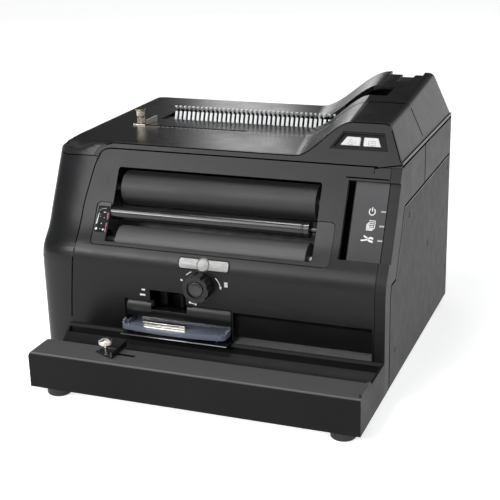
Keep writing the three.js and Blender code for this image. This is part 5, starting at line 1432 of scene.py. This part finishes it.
def corner_seam():
    """A dark line round the corner, where the upper cover sits on the left cover."""
    face = front_y(WRAP_Z)
    centre = (LEFT_X + CAD_ROUND, face + CAD_ROUND)
    outline = [(LEFT_X, face + back) for back in WRAP_BACKS]
    outline += arc(centre, CAD_ROUND, 180, 270, WRAP_STEPS)
    outline += [(centre[0] + across, face) for across in WRAP_ACROSS]
    rings = []
    for x, y in outline:
        heights = (WRAP_Z - WRAP_HALF, WRAP_Z + WRAP_HALF)
        low, high = [softened(point(x, y + front_y(z) - face, z)) for z in heights]
        normal = corner_slope((low + high) / 2 / MM)
        normal = normal.normalized() if normal.length > 0 else -X_AXIS
        inner = normal * -WRAP_SINK * MM
        outer = normal * WRAP_PROUD * MM
        rings.append([low + inner, high + inner, high + outer, low + outer])
    corner = Build()
    corner.ring_loft(rings)
    corner.make("corner_seam", SEAM, "trim", smooth=False)


SHELF_ENDS = (-100.0, 37.0)
SHELF_EDGE_PROFILE = ((-137.7, 53.5), (-137.7, 54.3), (-137.2, 54.6), (-136.4, 54.6), (-136.4, 53.5))


def shelf_edge():
    edge = Build()
    edge.ring_loft([[point(x, y, z) for y, z in SHELF_EDGE_PROFILE] for x in SHELF_ENDS])
    edge.make("shelf_edge", STEEL, "steel")


GUARD_ROUND = 5.0
GUARD_SEAM_WIDTH = 2.2
GUARD_SINK = 1.3
GUARD_LEFT, GUARD_RIGHT = -148.7, 152.6
GUARD_FOOT, GUARD_TOP = 153.7, 199.5
GUARD_TOP_END_X = -128.6
GUARD_RISES = 12
GUARD_ROUND_STEPS = 6


def on_groove(x, z, lift):
    return on_front(x, z, lift - GUARD_SINK)


def guard_seam():
    """The groove round the window guard, up both of its sides from the foot."""
    left, right = GUARD_LEFT + GUARD_ROUND, GUARD_RIGHT - GUARD_ROUND
    foot, top = GUARD_FOOT + GUARD_ROUND, GUARD_TOP - GUARD_ROUND
    rise = (top - foot) / GUARD_RISES
    heights = spaced(foot + rise, rise, GUARD_RISES)
    right_line = [(left, GUARD_FOOT)]
    right_line += arc((right, foot), GUARD_ROUND, -90, 0, GUARD_ROUND_STEPS)
    right_line += [(GUARD_RIGHT, z) for z in heights]
    left_line = arc((left, foot), GUARD_ROUND, -90, -180, GUARD_ROUND_STEPS)
    left_line += [(GUARD_LEFT, z) for z in heights]
    left_line += arc((left, top), GUARD_ROUND, 180, 90, GUARD_ROUND_STEPS)[1:]
    left_line.append((GUARD_TOP_END_X, GUARD_TOP))
    strokes = [(GUARD_SEAM_WIDTH, line) for line in (right_line, left_line)]
    stroke_piece("guard_seam", strokes, on_groove, HOUSING, "housing")


cover_seams()
left_cover_seam()
crest_seam()
side_panel_edge_highlight()
corner_seam()
shelf_edge()
guard_seam()
# Painted shade on the control panel's film, along its left side and foot.
mark_piece("panel_shade", PANEL_SHADE, on_panel, SEAM, "trim", PANEL_SHADE_PROUD)
